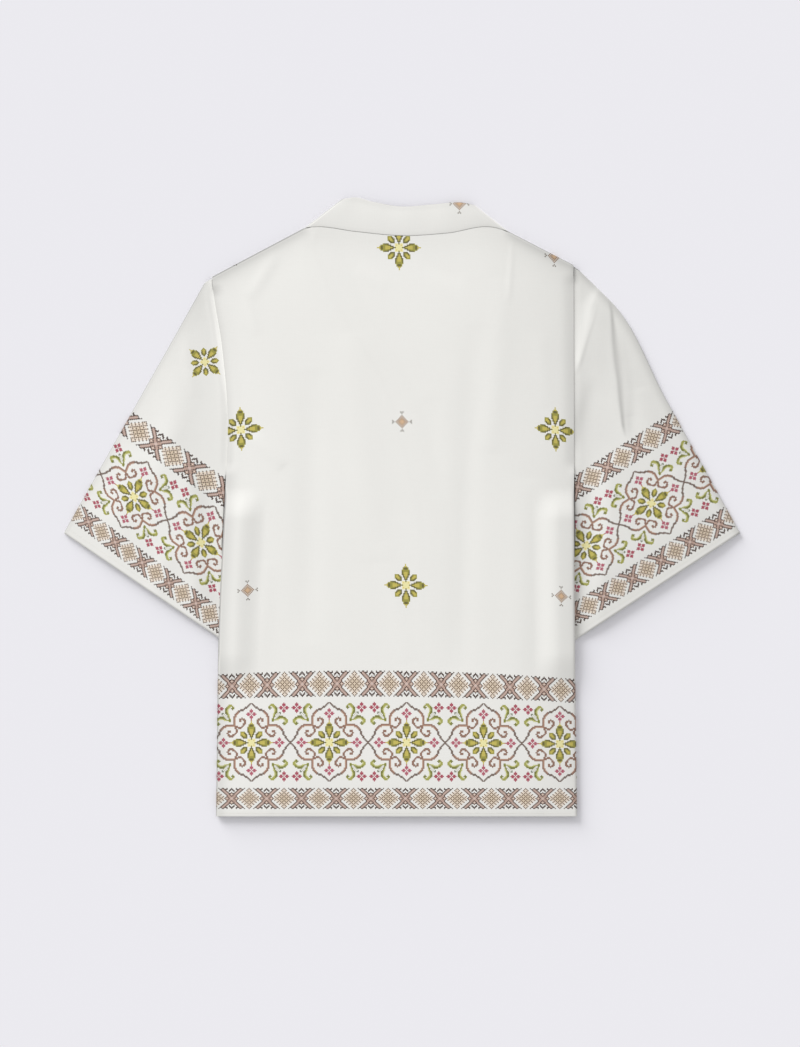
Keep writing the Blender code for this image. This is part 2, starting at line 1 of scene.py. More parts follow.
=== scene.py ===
# %% [markdown]
# # A short-sleeve shirt, laid flat with its back up
#
# The shirt is cut from a plain off-white cloth of linen and cotton. A band of cross-stitch motifs is printed
# round the hem and round both sleeves, and small motifs are scattered over the rest. We rebuild its looks here
# around the solid part: each panel becomes a thin shell that follows the solid's form, with its creases, seams
# and print. Every surface is worked out as a function of two parameters, so a size can be changed in one place.

from collections import namedtuple
from functools import partialmethod

import bpy
import numpy as np
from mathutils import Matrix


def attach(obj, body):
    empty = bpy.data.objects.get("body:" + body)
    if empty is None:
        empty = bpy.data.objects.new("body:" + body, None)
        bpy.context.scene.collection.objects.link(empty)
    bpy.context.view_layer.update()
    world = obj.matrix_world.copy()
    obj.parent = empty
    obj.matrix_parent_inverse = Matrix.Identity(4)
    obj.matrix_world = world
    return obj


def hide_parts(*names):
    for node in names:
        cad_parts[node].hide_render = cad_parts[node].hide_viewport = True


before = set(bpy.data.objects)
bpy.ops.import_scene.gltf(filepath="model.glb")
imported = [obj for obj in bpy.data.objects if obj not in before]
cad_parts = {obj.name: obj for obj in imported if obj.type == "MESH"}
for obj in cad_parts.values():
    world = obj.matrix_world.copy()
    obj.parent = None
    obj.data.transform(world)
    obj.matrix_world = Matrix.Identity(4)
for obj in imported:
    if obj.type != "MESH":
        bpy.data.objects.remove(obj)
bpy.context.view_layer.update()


# %% [markdown]
# ## Sizes
#
# A pattern cutter works in millimetres, and so do we until a mesh is made. The photograph sets the outline at
# 1.1 mm to a pixel, so a small function turns its pixels into millimetres from the middle of the shirt. The
# tables below list the same outline, bands and sleeves as the solid part.

# %% Sizes
METRE = 0.001
PIXEL = 1.1
MIDDLE_PX = (402.0, 507.0)
HEM_ENDS_PX = (216.0, 577.0)
TINY = 1e-9
SHELL = 0.6
BAND_SHELL = 1.0

FOLD_RADIUS = 2.2
EDGE_TOP = 5.1
BACK_TOP = 7.9
HEM_TOP = 5.0
ARMHOLE_TOP = 3.4
LEFT_REACH = 40.0
RIGHT_REACH = 30.0
TOP_REACH = 50.0
HEM_REACH = 22.0
LAP_REACH = 8.0
HEM_SLOPE_REACH = 14.0
HEM_TURNING = 0.25
BAND_CROWN = 0.7
SEAM_GAP = 0.3
BACK_HEM_Y = -340.1
FRONT_HEM_Y = -338.6
UNDERARM_Y = 20.0
SIDE_LIFT = 3.7
SLEEVE_FOLD = 1.6
SLEEVE_TOP = 6.4
SLEEVE_TUCK_TOP = 2.7
SLEEVE_TUCK = 6.0
BAND_CLIMB = 2.3
BUTTON_X = 42.9
BUTTON_RISE = 2.6
BUTTON_YS = [20.0, -50.0, -120.0, -190.0, -260.0]

SideRow = namedtuple("SideRow", "y left right")
SIDE_EDGES = [
    SideRow(266.0, -208.9, 188.4),
    SideRow(250.0, -208.5, 188.5),
    SideRow(178.0, -198.0, 188.7),
    SideRow(96.0, -191.4, 188.9),
    SideRow(20.0, -194.0, 189.0),
    SideRow(-102.0, -200.2, 189.6),
    SideRow(-340.0, -204.6, 192.5),
]

BandRow = namedtuple("BandRow", "seam_x seam_y free_x free_y")
NECK_BAND = [
    BandRow(-106.7, 306.9, -66.0, 338.3),
    BandRow(-95.0, 307.9, -56.0, 339.9),
    BandRow(-50.0, 302.6, -32.0, 335.4),
    BandRow(0.0, 298.2, 0.0, 330.2),
    BandRow(50.0, 301.0, 34.0, 332.6),
    BandRow(100.0, 307.4, 68.0, 334.2),
    BandRow(116.6, 303.0, 80.3, 331.6),
]
LEFT_BAND = [
    NECK_BAND[0],
    BandRow(-72.6, 221.1, -42.9, 235.4),
    BandRow(-19.8, 132.0, 11.0, 143.0),
    BandRow(1.1, 61.6, 33.0, 69.3),
    BandRow(16.5, 0.0, 48.4, 4.4),
    BandRow(20.9, -41.8, 53.9, -41.8),
    BandRow(22.0, -102.3, 55.0, -102.3),
    BandRow(22.0, FRONT_HEM_Y, 55.0, FRONT_HEM_Y),
]
RIGHT_BAND = [
    NECK_BAND[-1],
    BandRow(117.7, 216.7, 83.6, 227.7),
    BandRow(96.8, 161.7, 66.0, 173.8),
    BandRow(73.7, 73.7, 41.8, 82.5),
    BandRow(64.9, 11.0, 31.9, 14.3),
    BandRow(63.8, -69.3, 30.8, -69.3),
    BandRow(63.8, FRONT_HEM_Y, 30.8, FRONT_HEM_Y),
]

PointRow = namedtuple("PointRow", "x y")
LEFT_SLEEVE_EDGE = [
    PointRow(-217.0, 246.4), PointRow(-250.0, 187.4), PointRow(-300.0, 99.0), PointRow(-371.8, -28.6),
]
RIGHT_SLEEVE_EDGE = [
    PointRow(196.0, 259.0), PointRow(214.5, 241.0), PointRow(233.2, 222.2), PointRow(290.0, 119.0),
    PointRow(371.8, -28.6),
]
Side = namedtuple("Side", "sign tip_y neck_x neck_y band sleeve_top_y sleeve_edge cuff_y under_body")
LEFT = Side(-1, 253.0, *NECK_BAND[0][:2], LEFT_BAND, 251.0, LEFT_SLEEVE_EDGE, -151.4, 11.5)
RIGHT = Side(1, 266.0, *NECK_BAND[-1][:2], RIGHT_BAND, 264.0, RIGHT_SLEEVE_EDGE, -152.9, 9.5)


def from_pixels(px, py):
    """A place in the photograph, as x and y in millimetres."""
    return (np.asarray(px) - MIDDLE_PX[0]) * PIXEL, (MIDDLE_PX[1] - np.asarray(py)) * PIXEL


def column(table, name):
    """One named column of a table, as an array."""
    return np.array([getattr(row, name) for row in table], dtype=float)


def smooth(start, end, value):
    """Goes from 0 at start to 1 at end with no corner. The start may be the larger number."""
    t = np.clip((value - start) / (end - start), 0.0, 1.0)
    return t * t * (3 - 2 * t)


def through(knots, values, at):
    """A smooth curve through the values at the knots, which stays level beyond the ends."""
    order = np.argsort(knots)
    knots, values = knots[order], values[order]
    slopes = np.gradient(values, knots)
    at = np.clip(at, knots[0], knots[-1])
    index = np.clip(np.searchsorted(knots, at, side="right") - 1, 0, len(knots) - 2)
    step = knots[index + 1] - knots[index]
    t = (at - knots[index]) / step
    start = (2 * t**3 - 3 * t**2 + 1) * values[index] + (t**3 - 2 * t**2 + t) * step * slopes[index]
    end = (3 * t**2 - 2 * t**3) * values[index + 1] + (t**3 - t**2) * step * slopes[index + 1]
    return start + end


print("the hem is", round((HEM_ENDS_PX[1] - HEM_ENDS_PX[0]) * PIXEL, 1), "mm wide in the photograph")

# %% [markdown]
# ## Where the print falls
#
# A print is laid out in stitches: 67 to a medallion and 30 to a border diamond. These two numbers drive the
# whole chart. Cloth that lies on a table is pulled and turned a little, so the print's own grid is bent too.
# For each panel a few known places tie the stitch grid to the table, and the grid is bent smoothly between
# them. Newton's method then finds the stitch under each point of a surface: it guesses, measures the miss,
# and corrects the guess by the local slopes.

# %% Print grids
MEDALLION = 67.0
MEDALLION_ROW = 60.0
DIAMOND = 30.0
LOWER_BORDER = 10.0
BORDER_STEP = 100.0
PRINT_TOP = 125.0
SCATTER_ACROSS = 134.0
SCATTER_UP = 142.0
PRINT_STITCH = PIXEL * 1.15
NEWTON_STEPS = 12
LEFT_FLOWER_PX = (205.0, 362.0)

GridRow = namedtuple("GridRow", "q places")
BODY_PRINT = ((-MEDALLION, MEDALLION, 3 * MEDALLION), [
    GridRow(0.0, ((251.7, 808.6), (406.6, 808.6), (559.6, 808.6))),
    GridRow(21.0, ((251.7, 787.5), (406.6, 787.5), (559.6, 787.8))),
    GridRow(60.0, ((251.7, 742.4), (406.6, 742.2), (559.6, 743.6))),
    GridRow(93.5, ((251.5, 702.6), (406.6, 701.6), (559.6, 705.2))),
    GridRow(99.5, ((251.3, 698.0), (406.6, 696.7), (559.6, 702.0))),
    GridRow(120.5, ((250.8, 672.5), (406.5, 670.5), (559.8, 677.5))),
    GridRow(190.0, ((248.0, 590.0), (406.0, 585.0), (561.0, 596.0))),
    GridRow(332.0, ((241.0, 430.0), (402.0, 422.0), (555.0, 430.0))),
    GridRow(474.0, ((235.0, 255.5), (399.0, 248.0), (554.0, 256.6))),
])
LEFT_SLEEVE_PRINT = ((0.0, MEDALLION), [
    GridRow(10.5, ((115.5, 542.2), (175.6, 587.7))),
    GridRow(60.0, ((134.4, 497.1), (201.2, 542.8))),
    GridRow(93.5, ((148.1, 461.7), (215.1, 505.5))),
    GridRow(99.5, ((146.4, 452.8), (222.0, 507.1))),
    GridRow(120.5, ((161.4, 432.0), (237.0, 486.3))),
    GridRow(186.0, ((159.9, 353.0), (215.6, 398.1))),
    GridRow(226.0, ((186.9, 319.8), (242.6, 364.9))),
])
RIGHT_SLEEVE_PRINT = ((-MEDALLION, 0.0), [
    GridRow(10.5, ((614.8, 589.0), (679.0, 548.6))),
    GridRow(60.0, ((586.0, 545.7), (651.0, 503.3))),
    GridRow(110.0, ((558.7, 499.3), (624.9, 455.9))),
])


def grid_place(grid, p, q):
    """Where stitch (p, q) lies: Lagrange's curve across the columns, straight between the rows."""
    columns, rows = grid
    levels = np.array([row.q for row in rows])
    places = np.array([row.places for row in rows])
    index = np.clip(np.searchsorted(levels, q, side="right") - 1, 0, len(levels) - 2)
    t = ((q - levels[index]) / (levels[index + 1] - levels[index]))[..., None]
    total = 0.0
    for i, own in enumerate(columns):
        weight = 1.0
        for j, other in enumerate(columns):
            if j != i:
                weight = weight * (p - other) / (own - other)
        total = total + weight[..., None] * (places[index, i] * (1 - t) + places[index + 1, i] * t)
    x, y = from_pixels(total[..., 0], total[..., 1])
    return x, y


def stitch_at(grid, x, y):
    """The stitch (p, q) at each point of the table, found by Newton's method."""
    start_x, start_y = grid_place(grid, np.zeros_like(x), np.full_like(x, MEDALLION_ROW))
    p = (x - start_x) / PRINT_STITCH
    q = MEDALLION_ROW + (y - start_y) / PRINT_STITCH
    for _ in range(NEWTON_STEPS):
        here_x, here_y = grid_place(grid, p, q)
        right_x, right_y = grid_place(grid, p + 1, q)
        up_x, up_y = grid_place(grid, p, q + 1)
        a, c = right_x - here_x, right_y - here_y
        b, d = up_x - here_x, up_y - here_y
        miss_x, miss_y = x - here_x, y - here_y
        turn = a * d - b * c
        p = p + (d * miss_x - b * miss_y) / turn
        q = q + (a * miss_y - c * miss_x) / turn
    return p, q


flower_x, flower_y = from_pixels(*LEFT_FLOWER_PX)
flower_p, flower_q = stitch_at(LEFT_SLEEVE_PRINT, np.array([flower_x]), np.array([flower_y]))
print("the left sleeve's flower is at stitch", flower_p.round(1), flower_q.round(1))

# %% [markdown]
# ## Shader arithmetic
#
# The print is a chart: for each stitch, a rule says which thread colour fills it. Written as node graphs such
# rules are hard to read, so one small class wraps a node's output and lets us add, multiply and compare it
# with ordinary signs. Numbers that are already known stay ordinary numbers.

# %% Shader arithmetic


class Term:
    """A value in a node tree. Signs such as + and * on it build the Math nodes.

    A comparison gives 1 or 0, so & is a product and | the greater of two. near(value, reach) gives 1 where
    this value is within reach of another.
    """

    tree = None

    def __init__(self, socket):
        self.socket = socket

    @classmethod
    def node(cls, kind, settings=None, values=None, output=0):
        """Makes any node: first its type, then its settings, then its input values or links."""
        made = cls.tree.nodes.new(kind)
        for name, value in (settings or {}).items():
            setattr(made, name, value)
        for name, value in (values or {}).items():
            if isinstance(value, Term):
                cls.tree.links.new(value.socket, made.inputs[name])
            else:
                made.inputs[name].default_value = value
        return cls(made.outputs[output])

    def math(self, operation, *others):
        return Term.node("ShaderNodeMath", {"operation": operation}, dict(enumerate((self, *others))))

    def __rsub__(self, other):
        return Term.node("ShaderNodeMath", {"operation": "SUBTRACT"}, {0: other, 1: self})

    def __invert__(self):
        return 1.0 - self

    __add__ = __radd__ = partialmethod(math, "ADD")
    __sub__ = partialmethod(math, "SUBTRACT")
    __mul__ = __rmul__ = __and__ = partialmethod(math, "MULTIPLY")
    __truediv__ = partialmethod(math, "DIVIDE")
    __mod__ = partialmethod(math, "FLOORED_MODULO")
    __lt__ = partialmethod(math, "LESS_THAN")
    __gt__ = partialmethod(math, "GREATER_THAN")
    __abs__ = partialmethod(math, "ABSOLUTE")
    __or__ = most = partialmethod(math, "MAXIMUM")
    least = partialmethod(math, "MINIMUM")
    floor = partialmethod(math, "FLOOR")
    root = partialmethod(math, "SQRT")
    near = partialmethod(math, "COMPARE")


def linear(red, green, blue):
    """A colour given as it looks on a screen, from 0 to 255, as the light it stands for."""
    share = np.array([red, green, blue]) / 255.0
    light = np.where(share <= 0.04045, share / 12.92, ((share + 0.055) / 1.055) ** 2.4)
    return (*light.tolist(), 1.0)


def mix(below, above, factor):
    """One colour over another."""
    return Term.node("ShaderNodeMix", {"data_type": "RGBA"}, {0: factor, 6: below, 7: above}, output=2)


def new_material(name, roughness):
    """A plain material without metal, whose node tree the next terms are built in."""
    material = bpy.data.materials.new(name)
    material.use_nodes = True
    Term.tree = material.node_tree
    shader = material.node_tree.nodes["Principled BSDF"]
    shader.inputs["Roughness"].default_value = roughness
    shader.inputs["Metallic"].default_value = 0.0
    return material, shader


def link(term, socket):
    """Feeds a term into a socket of the shader."""
    Term.tree.links.new(term.socket, socket)


# %% [markdown]
# ## The motifs
#
# Cross-stitch charts are full of mirror lines. A flower looks the same in each of eight wedges, so we fold the
# plane: the larger of |x| and |y| is called a, the smaller b, and the chart is only drawn for one wedge. A
# petal is then a kite on the a axis, and a volute of the medallion is a spiral whose radius grows with angle.

# %% Motif charts
FLOWER_DARK = linear(98, 92, 24)
FLOWER_GREEN = linear(150, 144, 50)
FLOWER_GOLD = linear(192, 178, 78)
FLOWER_HEART = linear(234, 227, 166)
HEART_DOT = linear(224, 196, 116)
TAN = linear(98, 72, 52)
TAN_GROUND = linear(216, 198, 174)
DIAMOND_HEART = linear(212, 178, 142)
DIAMOND_DOT = linear(138, 106, 82)
TAN_PALE = linear(232, 218, 202)
BROWN = linear(62, 40, 30)
BROWN_MIDDLE = linear(168, 138, 124)
BROWN_FILL = linear(204, 182, 172)
KNOT_FILL = linear(184, 154, 140)
LINE_BROWN = linear(140, 104, 86)
LINE_DARK = linear(112, 94, 84)
LINE_PALE = linear(178, 140, 118)
PINK = linear(174, 84, 102)
RED = linear(166, 66, 84)
LEAF_DARK = linear(116, 118, 36)
LEAF_GREEN = linear(160, 160, 74)
LEAF_PALE = linear(204, 204, 142)
STALK = linear(120, 126, 106)
STALK_PALE = linear(200, 200, 186)
CHEVRON = linear(104, 92, 78)
NO_PRINT = (1.0, 1.0, 1.0, 1.0)
DIAGONAL = 0.7071
DEGREES = 57.2958
FULL_INK = 0.9
VOLUTE = (17.6, 8.4)
SHOULDER = (17.8, 4.5)
LEAF = (25.8, 16.0)


def flower(a, b, colour, ink):
    """Four long petals on the axes, four short ones between them, and a pale heart."""
    width = ((a - 2.6) * 0.5).least((18.4 - a) * 0.64).least(3.9)
    long_petal = b < width
    rim = long_petal & (b > width - 1.3)
    along = (a + b) * DIAGONAL
    across = (a - b) * DIAGONAL
    short_width = ((along - 4.2) * 0.75).least((13.6 - along) * 0.95).least(2.5)
    short_petal = across < short_width
    short_rim = short_petal & ((across > short_width - 1.2) | (along < 6.6))
    heart = (a < 3.5) & ~long_petal
    light = (long_petal & (b < 1.5) & (a < 11.6)) | (short_petal & (along > 8.0) & ~short_rim)
    dark = (rim & (a < 12.6)) | (short_rim & (along < 10.0)) | (a.near(14.2, 1.1) & (b < 1.4))
    colour = mix(colour, FLOWER_GREEN, long_petal | short_petal)
    colour = mix(colour, FLOWER_GOLD, light | (long_petal & (a > 15.5)))
    colour = mix(colour, FLOWER_DARK, dark)
    colour = mix(colour, FLOWER_HEART, heart)
    colour = mix(colour, HEART_DOT, a.near(2.0, 0.5) & b.near(2.0, 0.5))
    return colour, ink | long_petal | short_petal | heart


def small_diamond(a, b, on, colour, ink):
    """A diamond of crossed threads with a chevron off each point."""
    ring = a + b
    lattice = (ring < 5.5) & on
    dots = lattice & (ring % 2.0 > 0.5)
    chevron = (a - b).near(7.0, 0.6) & (b < 1.6) & on
    colour = mix(colour, TAN_PALE, lattice)
    colour = mix(colour, DIAMOND_DOT, dots)
    colour = mix(colour, DIAMOND_HEART, lattice & (ring < 2.5))
    colour = mix(colour, CHEVRON, chevron)
    return colour, ink | lattice | chevron


def four_petals(e, f):
    """A small flower of four pointed petals. e and f are distances from its centre."""
    return abs(e.most(f) - 2.8) + e.least(f) < 1.95


def radius_at(x, y):
    """The distance from a centre, for x and y measured from it."""
    return (x * x + y * y).root()


def angle_at(x, y):
    """The angle about a centre, in degrees."""
    return y.math("ARCTAN2", x) * DEGREES


def medallion(across, up, colour, ink):
    """An eight-lobed outline that ends in volutes, with flowers and sprouts about it."""
    a = across.most(up)
    b = across.least(up)
    alpha = a - VOLUTE[0]
    beta = b - VOLUTE[1]
    radius = radius_at(alpha, beta)
    turn = (angle_at(alpha, beta) + 250.0) % 360.0
    curl = (7.0 - turn * 0.037).most(3.59 - turn * 0.0045).least(7.2 - turn * 0.018)
    volute = radius.near(curl, 1.0) & (turn < 345.0)
    alpha = a - SHOULDER[0]
    beta = b - SHOULDER[1]
    radius = radius_at(alpha, beta)
    shoulder = radius.near(10.46, 1.0) & (b > 10.3) & (a > 14.6)
    cusp = a.near(33.4 - b * 1.1 + b * b * 0.045, 1.0) & (b < 10.4)
    outline = volute | shoulder
    colour = mix(colour, LINE_DARK, cusp)
    colour = mix(colour, LINE_BROWN, outline)
    colour = mix(colour, LINE_PALE, shoulder & (radius < 10.2))

    bud = four_petals(abs(a - 24.0), b)
    stem = a.near(18.5, 1.6) & (b < 0.6)
    bloom = four_petals(abs(across - 28.0), abs(up - 29.0))
    colour = mix(colour, PINK, bud | stem)
    colour = mix(colour, RED, bloom)

    alpha = a - (LEAF[0] + (up > across) * 1.2)
    beta = b - LEAF[1]
    radius = radius_at(alpha, beta)
    angle = angle_at(alpha, beta)
    base = (angle - 115.0).most(0.0)
    tip = (25.0 - angle).most(0.0)
    bend = 4.9 + base * base * 0.0011 - tip * 0.05
    thick = 1.45 - base * 0.013 - tip * 0.008
    blade = (abs(radius - bend) < thick) & angle.near(72.0, 100.0)
    colour = mix(colour, LEAF_GREEN, blade)
    colour = mix(colour, LEAF_DARK, blade & (radius > bend + 0.1) & (angle > 50.0))
    colour = mix(colour, LEAF_PALE, blade & (radius < bend - 0.7))
    hook = abs(alpha - 2.2) + abs(beta) < 1.4
    colour = mix(colour, LEAF_DARK, hook)
    middle = (a + b) * 0.5
    sprig = (a - b < 1.5) & middle.near(24.8, 0.4)
    thread = (a - b).near(1.0, 0.5) & middle.near(22.0, 2.0)
    colour = mix(colour, STALK_PALE, thread)
    colour = mix(colour, STALK, sprig)
    return colour, ink | outline | cusp | bud | stem | bloom | blade | hook | sprig | thread


def border(x, y, on, colour, ink):
    """Crossed bars and diamonds of crossed threads, taking turns every fifteen stitches."""
    across = abs(x)
    up = abs(y)
    skew = up - across
    total = across + up
    bar = skew.near(1.0, 1.6) & (total < 17.5)
    bar_edge = (skew + 1.0).near(0.0, 0.5) | (skew.near(3.0, 0.5) & (total < 18.5))
    bar_end = skew.near(1.0, 1.6) & total.near(18.0, 0.5)
    tooth = total.near(13.5, 0.6) & skew.near(5.0, 1.5)
    chevron = total.near(9.5, 0.6) & (across < 2.6) & (skew > 0.0)
    eye = abs(across.most(up) - 4.0) + across.least(up)
    dark = ((bar_edge | bar_end | tooth | chevron) & (total > 6.5)) | eye.near(2.0, 0.5)
    knot = (total < 6.5) | (eye < 2.5)

    side = abs(15.0 - across)
    ring = side + up
    gap = abs(side - up)
    high = up > side
    threads = (gap % 4.0).near(2.0, 0.5) & (ring < 10.5) & (gap < 6.5 + high * 4.0)
    rings = (ring % 4.0).near(2.0, 0.5) & ((ring < 6.5) | ((ring < 10.5) & (gap > 5.5) & high))
    in_row = (up < 10.8) & on
    colour = mix(colour, BROWN_MIDDLE, bar)
    colour = mix(colour, BROWN_FILL, bar & skew.near(1.0, 0.5))
    colour = mix(colour, TAN_PALE, ring < 9.5)
    colour = mix(colour, TAN_GROUND, ring < 6.5)
    colour = mix(colour, TAN_PALE, (ring < 4.5) & (side.least(up) < 0.5) & (ring > 3.5))
    colour = mix(colour, TAN, threads | rings)
    colour = mix(colour, KNOT_FILL, knot)
    colour = mix(colour, BROWN_FILL, total < 1.5)
    colour = mix(colour, BROWN, dark)
    colour = mix(colour, TAN_PALE, eye < 0.5)
    return colour, ink | ((bar | dark | knot | threads | rings | (ring < 9.5)) & in_row)


def print_colour(lower_phase, upper_phase, scatter):
    """The colour and the ink of the print, from the stitch grid that a panel carries as its UV map.

    The phases say at which stitch a border's diamonds start. scatter is one flower above the border, or None.
    """
    spot = Term.node("ShaderNodeUVMap", {"uv_map": "print"})
    stitch = Term.node("ShaderNodeSeparateXYZ", {}, {0: spot}).socket.node
    p, q = Term(stitch.outputs["X"]), Term(stitch.outputs["Y"])
    no_ink = q * 0.0

    upper = q > MEDALLION_ROW
    phase = lower_phase + upper * (upper_phase - lower_phase)
    x = (p - phase + (DIAMOND + 1) / 2).floor() % DIAMOND - DIAMOND / 2
    y = (q + upper * 0.5).floor() - (LOWER_BORDER + upper * BORDER_STEP)
    colour, ink = border(x, y, q < PRINT_TOP, NO_PRINT, no_ink)

    x = (p + MEDALLION / 2).floor() % MEDALLION - (MEDALLION - 1) / 2
    y = (q + 0.5).floor() - MEDALLION_ROW
    row = abs(y) < (MEDALLION + 1) / 2
    flowers = row
    if scatter:
        start_p, start_q = scatter
        plain = q > PRINT_TOP
        column_p = ((p - start_p + SCATTER_ACROSS / 2) / SCATTER_ACROSS).floor()
        column_q = ((q - start_q + SCATTER_UP / 2) / SCATTER_UP).floor()
        odd = (column_p + column_q) % 2.0
        flowers = row | (plain & ~odd)
        x = x + plain * ((p - start_p + 0.5).floor() - column_p * SCATTER_ACROSS - x)
        y = y + plain * ((q - start_q + 0.5).floor() - column_q * SCATTER_UP - y)
    across, up = abs(x), abs(y)
    a, b = across.most(up), across.least(up)
    round_colour, round_ink = medallion(across, up, colour, no_ink)
    colour = mix(colour, round_colour, row)
    ink = ink | (round_ink & row)
    bloom_colour, bloom_ink = flower(a, b, colour, ink)
    colour = mix(colour, bloom_colour, flowers)
    ink = ink + flowers * (bloom_ink - ink)
    if scatter:
        colour, ink = small_diamond(a, b, plain & odd, colour, ink)
    cross = abs(abs(p % 1.0 - 0.5) - abs(q % 1.0 - 0.5)) < 0.34
    return colour, ink * (FULL_INK + cross * 0.08)


# %% [markdown]
# ## The cloth
#
# Linen and cotton yarns are uneven, so the cloth has faint slubs that run both ways. They lift the surface by
# a few hundredths of a millimetre, which is a bump, and vary its colour by about one part in a hundred. The
# print lies on the outer face as ink, with no height of its own. A value stored at the points of each panel,
# named shade, paints shade into its folds and along its edges, and darkens the places where hidden seams
# show through the thin cloth.

# %% Cloth materials
CLOTH = linear(233, 232, 228)
YARN_STRETCHES = ((90.0, 1400.0, 90.0), (1400.0, 90.0, 90.0))
SLUB_TONE = 0.05
BLOTCH_TONE = 0.03
BODY_PHASES = (6.0, 7.0, (MEDALLION, 190.0))


def cloth_material(name, printed):
    """Off-white cloth with slubs. printed holds the phases of its print, or None."""
    material, shader = new_material(name, 0.85)
    shader.inputs["Sheen Weight"].default_value = 0.15
    shader.inputs["Sheen Roughness"].default_value = 0.6
    place = Term.node("ShaderNodeTexCoord", output=3)
    yarns = []
    for stretch in YARN_STRETCHES:
        along = Term.node("ShaderNodeVectorMath", {"operation": "MULTIPLY"}, {0: place, 1: stretch})
        yarns.append(Term.node("ShaderNodeTexNoise", {}, {"Vector": along, "Scale": 1.0, "Detail": 3.0}))
    slub = (yarns[0] + yarns[1]) * 0.5
    blotch = Term.node("ShaderNodeTexNoise", {}, {"Vector": place, "Scale": 14.0, "Detail": 2.0})
    dimmed = Term.node("ShaderNodeAttribute", {"attribute_name": "shade"}, output=2)
    tone = 1.0 + (slub - 0.5) * SLUB_TONE + (blotch - 0.5) * BLOTCH_TONE - dimmed
    base = CLOTH[:3]
    if printed:
        colour, ink = print_colour(*printed)
        base = mix(CLOTH, colour, ink)
    toned = Term.node("ShaderNodeVectorMath", {"operation": "SCALE"}, {0: base, "Scale": tone})
    link(toned, shader.inputs["Base Color"])
    bump = Term.node("ShaderNodeBump", {}, {"Strength": 0.35, "Distance": 0.0002, "Height": slub})
    link(bump, shader.inputs["Normal"])
    print(name, "has", len(Term.tree.nodes), "nodes")
    return material


left_flower = (float(flower_p[0]), float(flower_q[0]))
body_cloth = cloth_material("printed cloth of the body", BODY_PHASES)
left_cloth = cloth_material("printed cloth of the left sleeve", (0.0, 2.0, left_flower))
right_cloth = cloth_material("printed cloth of the right sleeve", (11.0, 12.0, None))
band_cloth = cloth_material("cloth of the neck band", BODY_PHASES)
plain_cloth = cloth_material("plain cloth", None)
thread_material, thread_shader = new_material("sewing thread", 0.6)
thread_shader.inputs["Base Color"].default_value = linear(228, 226, 218)
button_material, button_shader = new_material("button plastic", 0.32)
button_shader.inputs["Base Color"].default_value = linear(226, 221, 209)
button_shader.inputs["Coat Weight"].default_value = 0.3

# %% [markdown]
# ## Making a shell
#
# Each panel is a grid of points. The grid becomes quads by index arithmetic on whole arrays, and a Solidify
# modifier gives it the thickness of cloth, growing inwards from the outer face. The stitch grid goes into a UV
# map named print.

# %% Shells
DARKEST = 0.8
SEEN_FROM_ABOVE = [1, 1, 0]
cloths = {}


def grid_quads(rows, columns, rightward, closed_from=None):
    """Corner numbers of the quads between the grid's points. Rows from closed_from on are closed to a ring.

    rightward is true where the rows run down and the columns run to the right, as seen from the outer face.
    """
    number = np.arange(rows * columns).reshape(rows, columns)
    quads = np.stack([number[:-1, :-1], number[1:, :-1], number[1:, 1:], number[:-1, 1:]], axis=-1)
    quads = quads.reshape(-1, 4)
    if closed_from is not None:
        ring = number[closed_from:]
        extra = np.stack([ring[:-1, -1], ring[1:, -1], ring[1:, 0], ring[:-1, 0]], axis=-1)
        quads = np.concatenate([quads, extra])
    return quads if rightward else quads[:, ::-1]


def fill_mesh(mesh, points, quads):
    """Puts whole arrays of points and quads into a mesh."""
    mesh.vertices.add(len(points))
    mesh.vertices.foreach_set("co", (points * METRE).astype(np.float32).ravel())
    mesh.loops.add(quads.size)
    mesh.loops.foreach_set("vertex_index", quads.astype(np.int32).ravel())
    mesh.polygons.add(len(quads))
    mesh.polygons.foreach_set("loop_start", np.arange(0, quads.size, 4, dtype=np.int32))
    mesh.polygons.foreach_set("use_smooth", np.ones(len(quads), dtype=bool))
    mesh.update(calc_edges=True)


def add_object(name, mesh, material):
    """An object that shows the mesh, in one material."""
    mesh.materials.append(material)
    item = bpy.data.objects.new(name, mesh)
    bpy.context.scene.collection.objects.link(item)
    return item


def shell(name, points, rightward, material, stitches=None, thickness=SHELL, closed_from=None, shade=0.0):
    """A grid of points, rows by columns, as a thin piece of cloth."""
    rows, columns = points.shape[:2]
    quads = grid_quads(rows, columns, rightward, closed_from)
    mesh = bpy.data.meshes.new(name)
    fill_mesh(mesh, points.reshape(-1, 3), quads)
    if stitches is not None:
        flat = np.stack(stitches, axis=-1).reshape(-1, 2)
        layer = mesh.uv_layers.new(name="print")
        layer.data.foreach_set("uv", flat[quads.ravel()].astype(np.float32).ravel())
    value = mesh.attributes.new("shade", "FLOAT", "POINT")
    amount = np.minimum(shade + steep_shade(points, rightward), DARKEST).ravel()
    value.data.foreach_set("value", amount.astype(np.float32))
    item = add_object(name, mesh, material)
    wall = item.modifiers.new("wall", "SOLIDIFY")
    wall.thickness = thickness * METRE
    wall.offset = -1.0
    print(name, rows, "by", columns, "points")
    return item


def flat_area(points, closed_from=None):
    """The area of a grid in square metres, as the sum of its quads' diagonals' cross products."""
    corners = points.reshape(-1, 3)[grid_quads(*points.shape[:2], True, closed_from)]
    cross = np.cross(corners[:, 2] - corners[:, 0], corners[:, 3] - corners[:, 1])
    return float(np.linalg.norm(cross, axis=1).sum() / 2 * METRE**2)


def note(node, item, area):
    """Keeps a shell under the name of its node, with the square metres of cloth that it takes."""
    cloths[node] = (item, area)
    print(node, "takes", round(area, 4), "square metres")


# %% [markdown]
# ## Creases
#
# Cloth that was folded and laid down keeps soft ridges and troughs. Each row of a table is one of them: a line
# from one place to another, a height and a width. Across the line its form is a bell, and it fades out at both
# ends. No two are alike, because the cloth's own creases aren't.

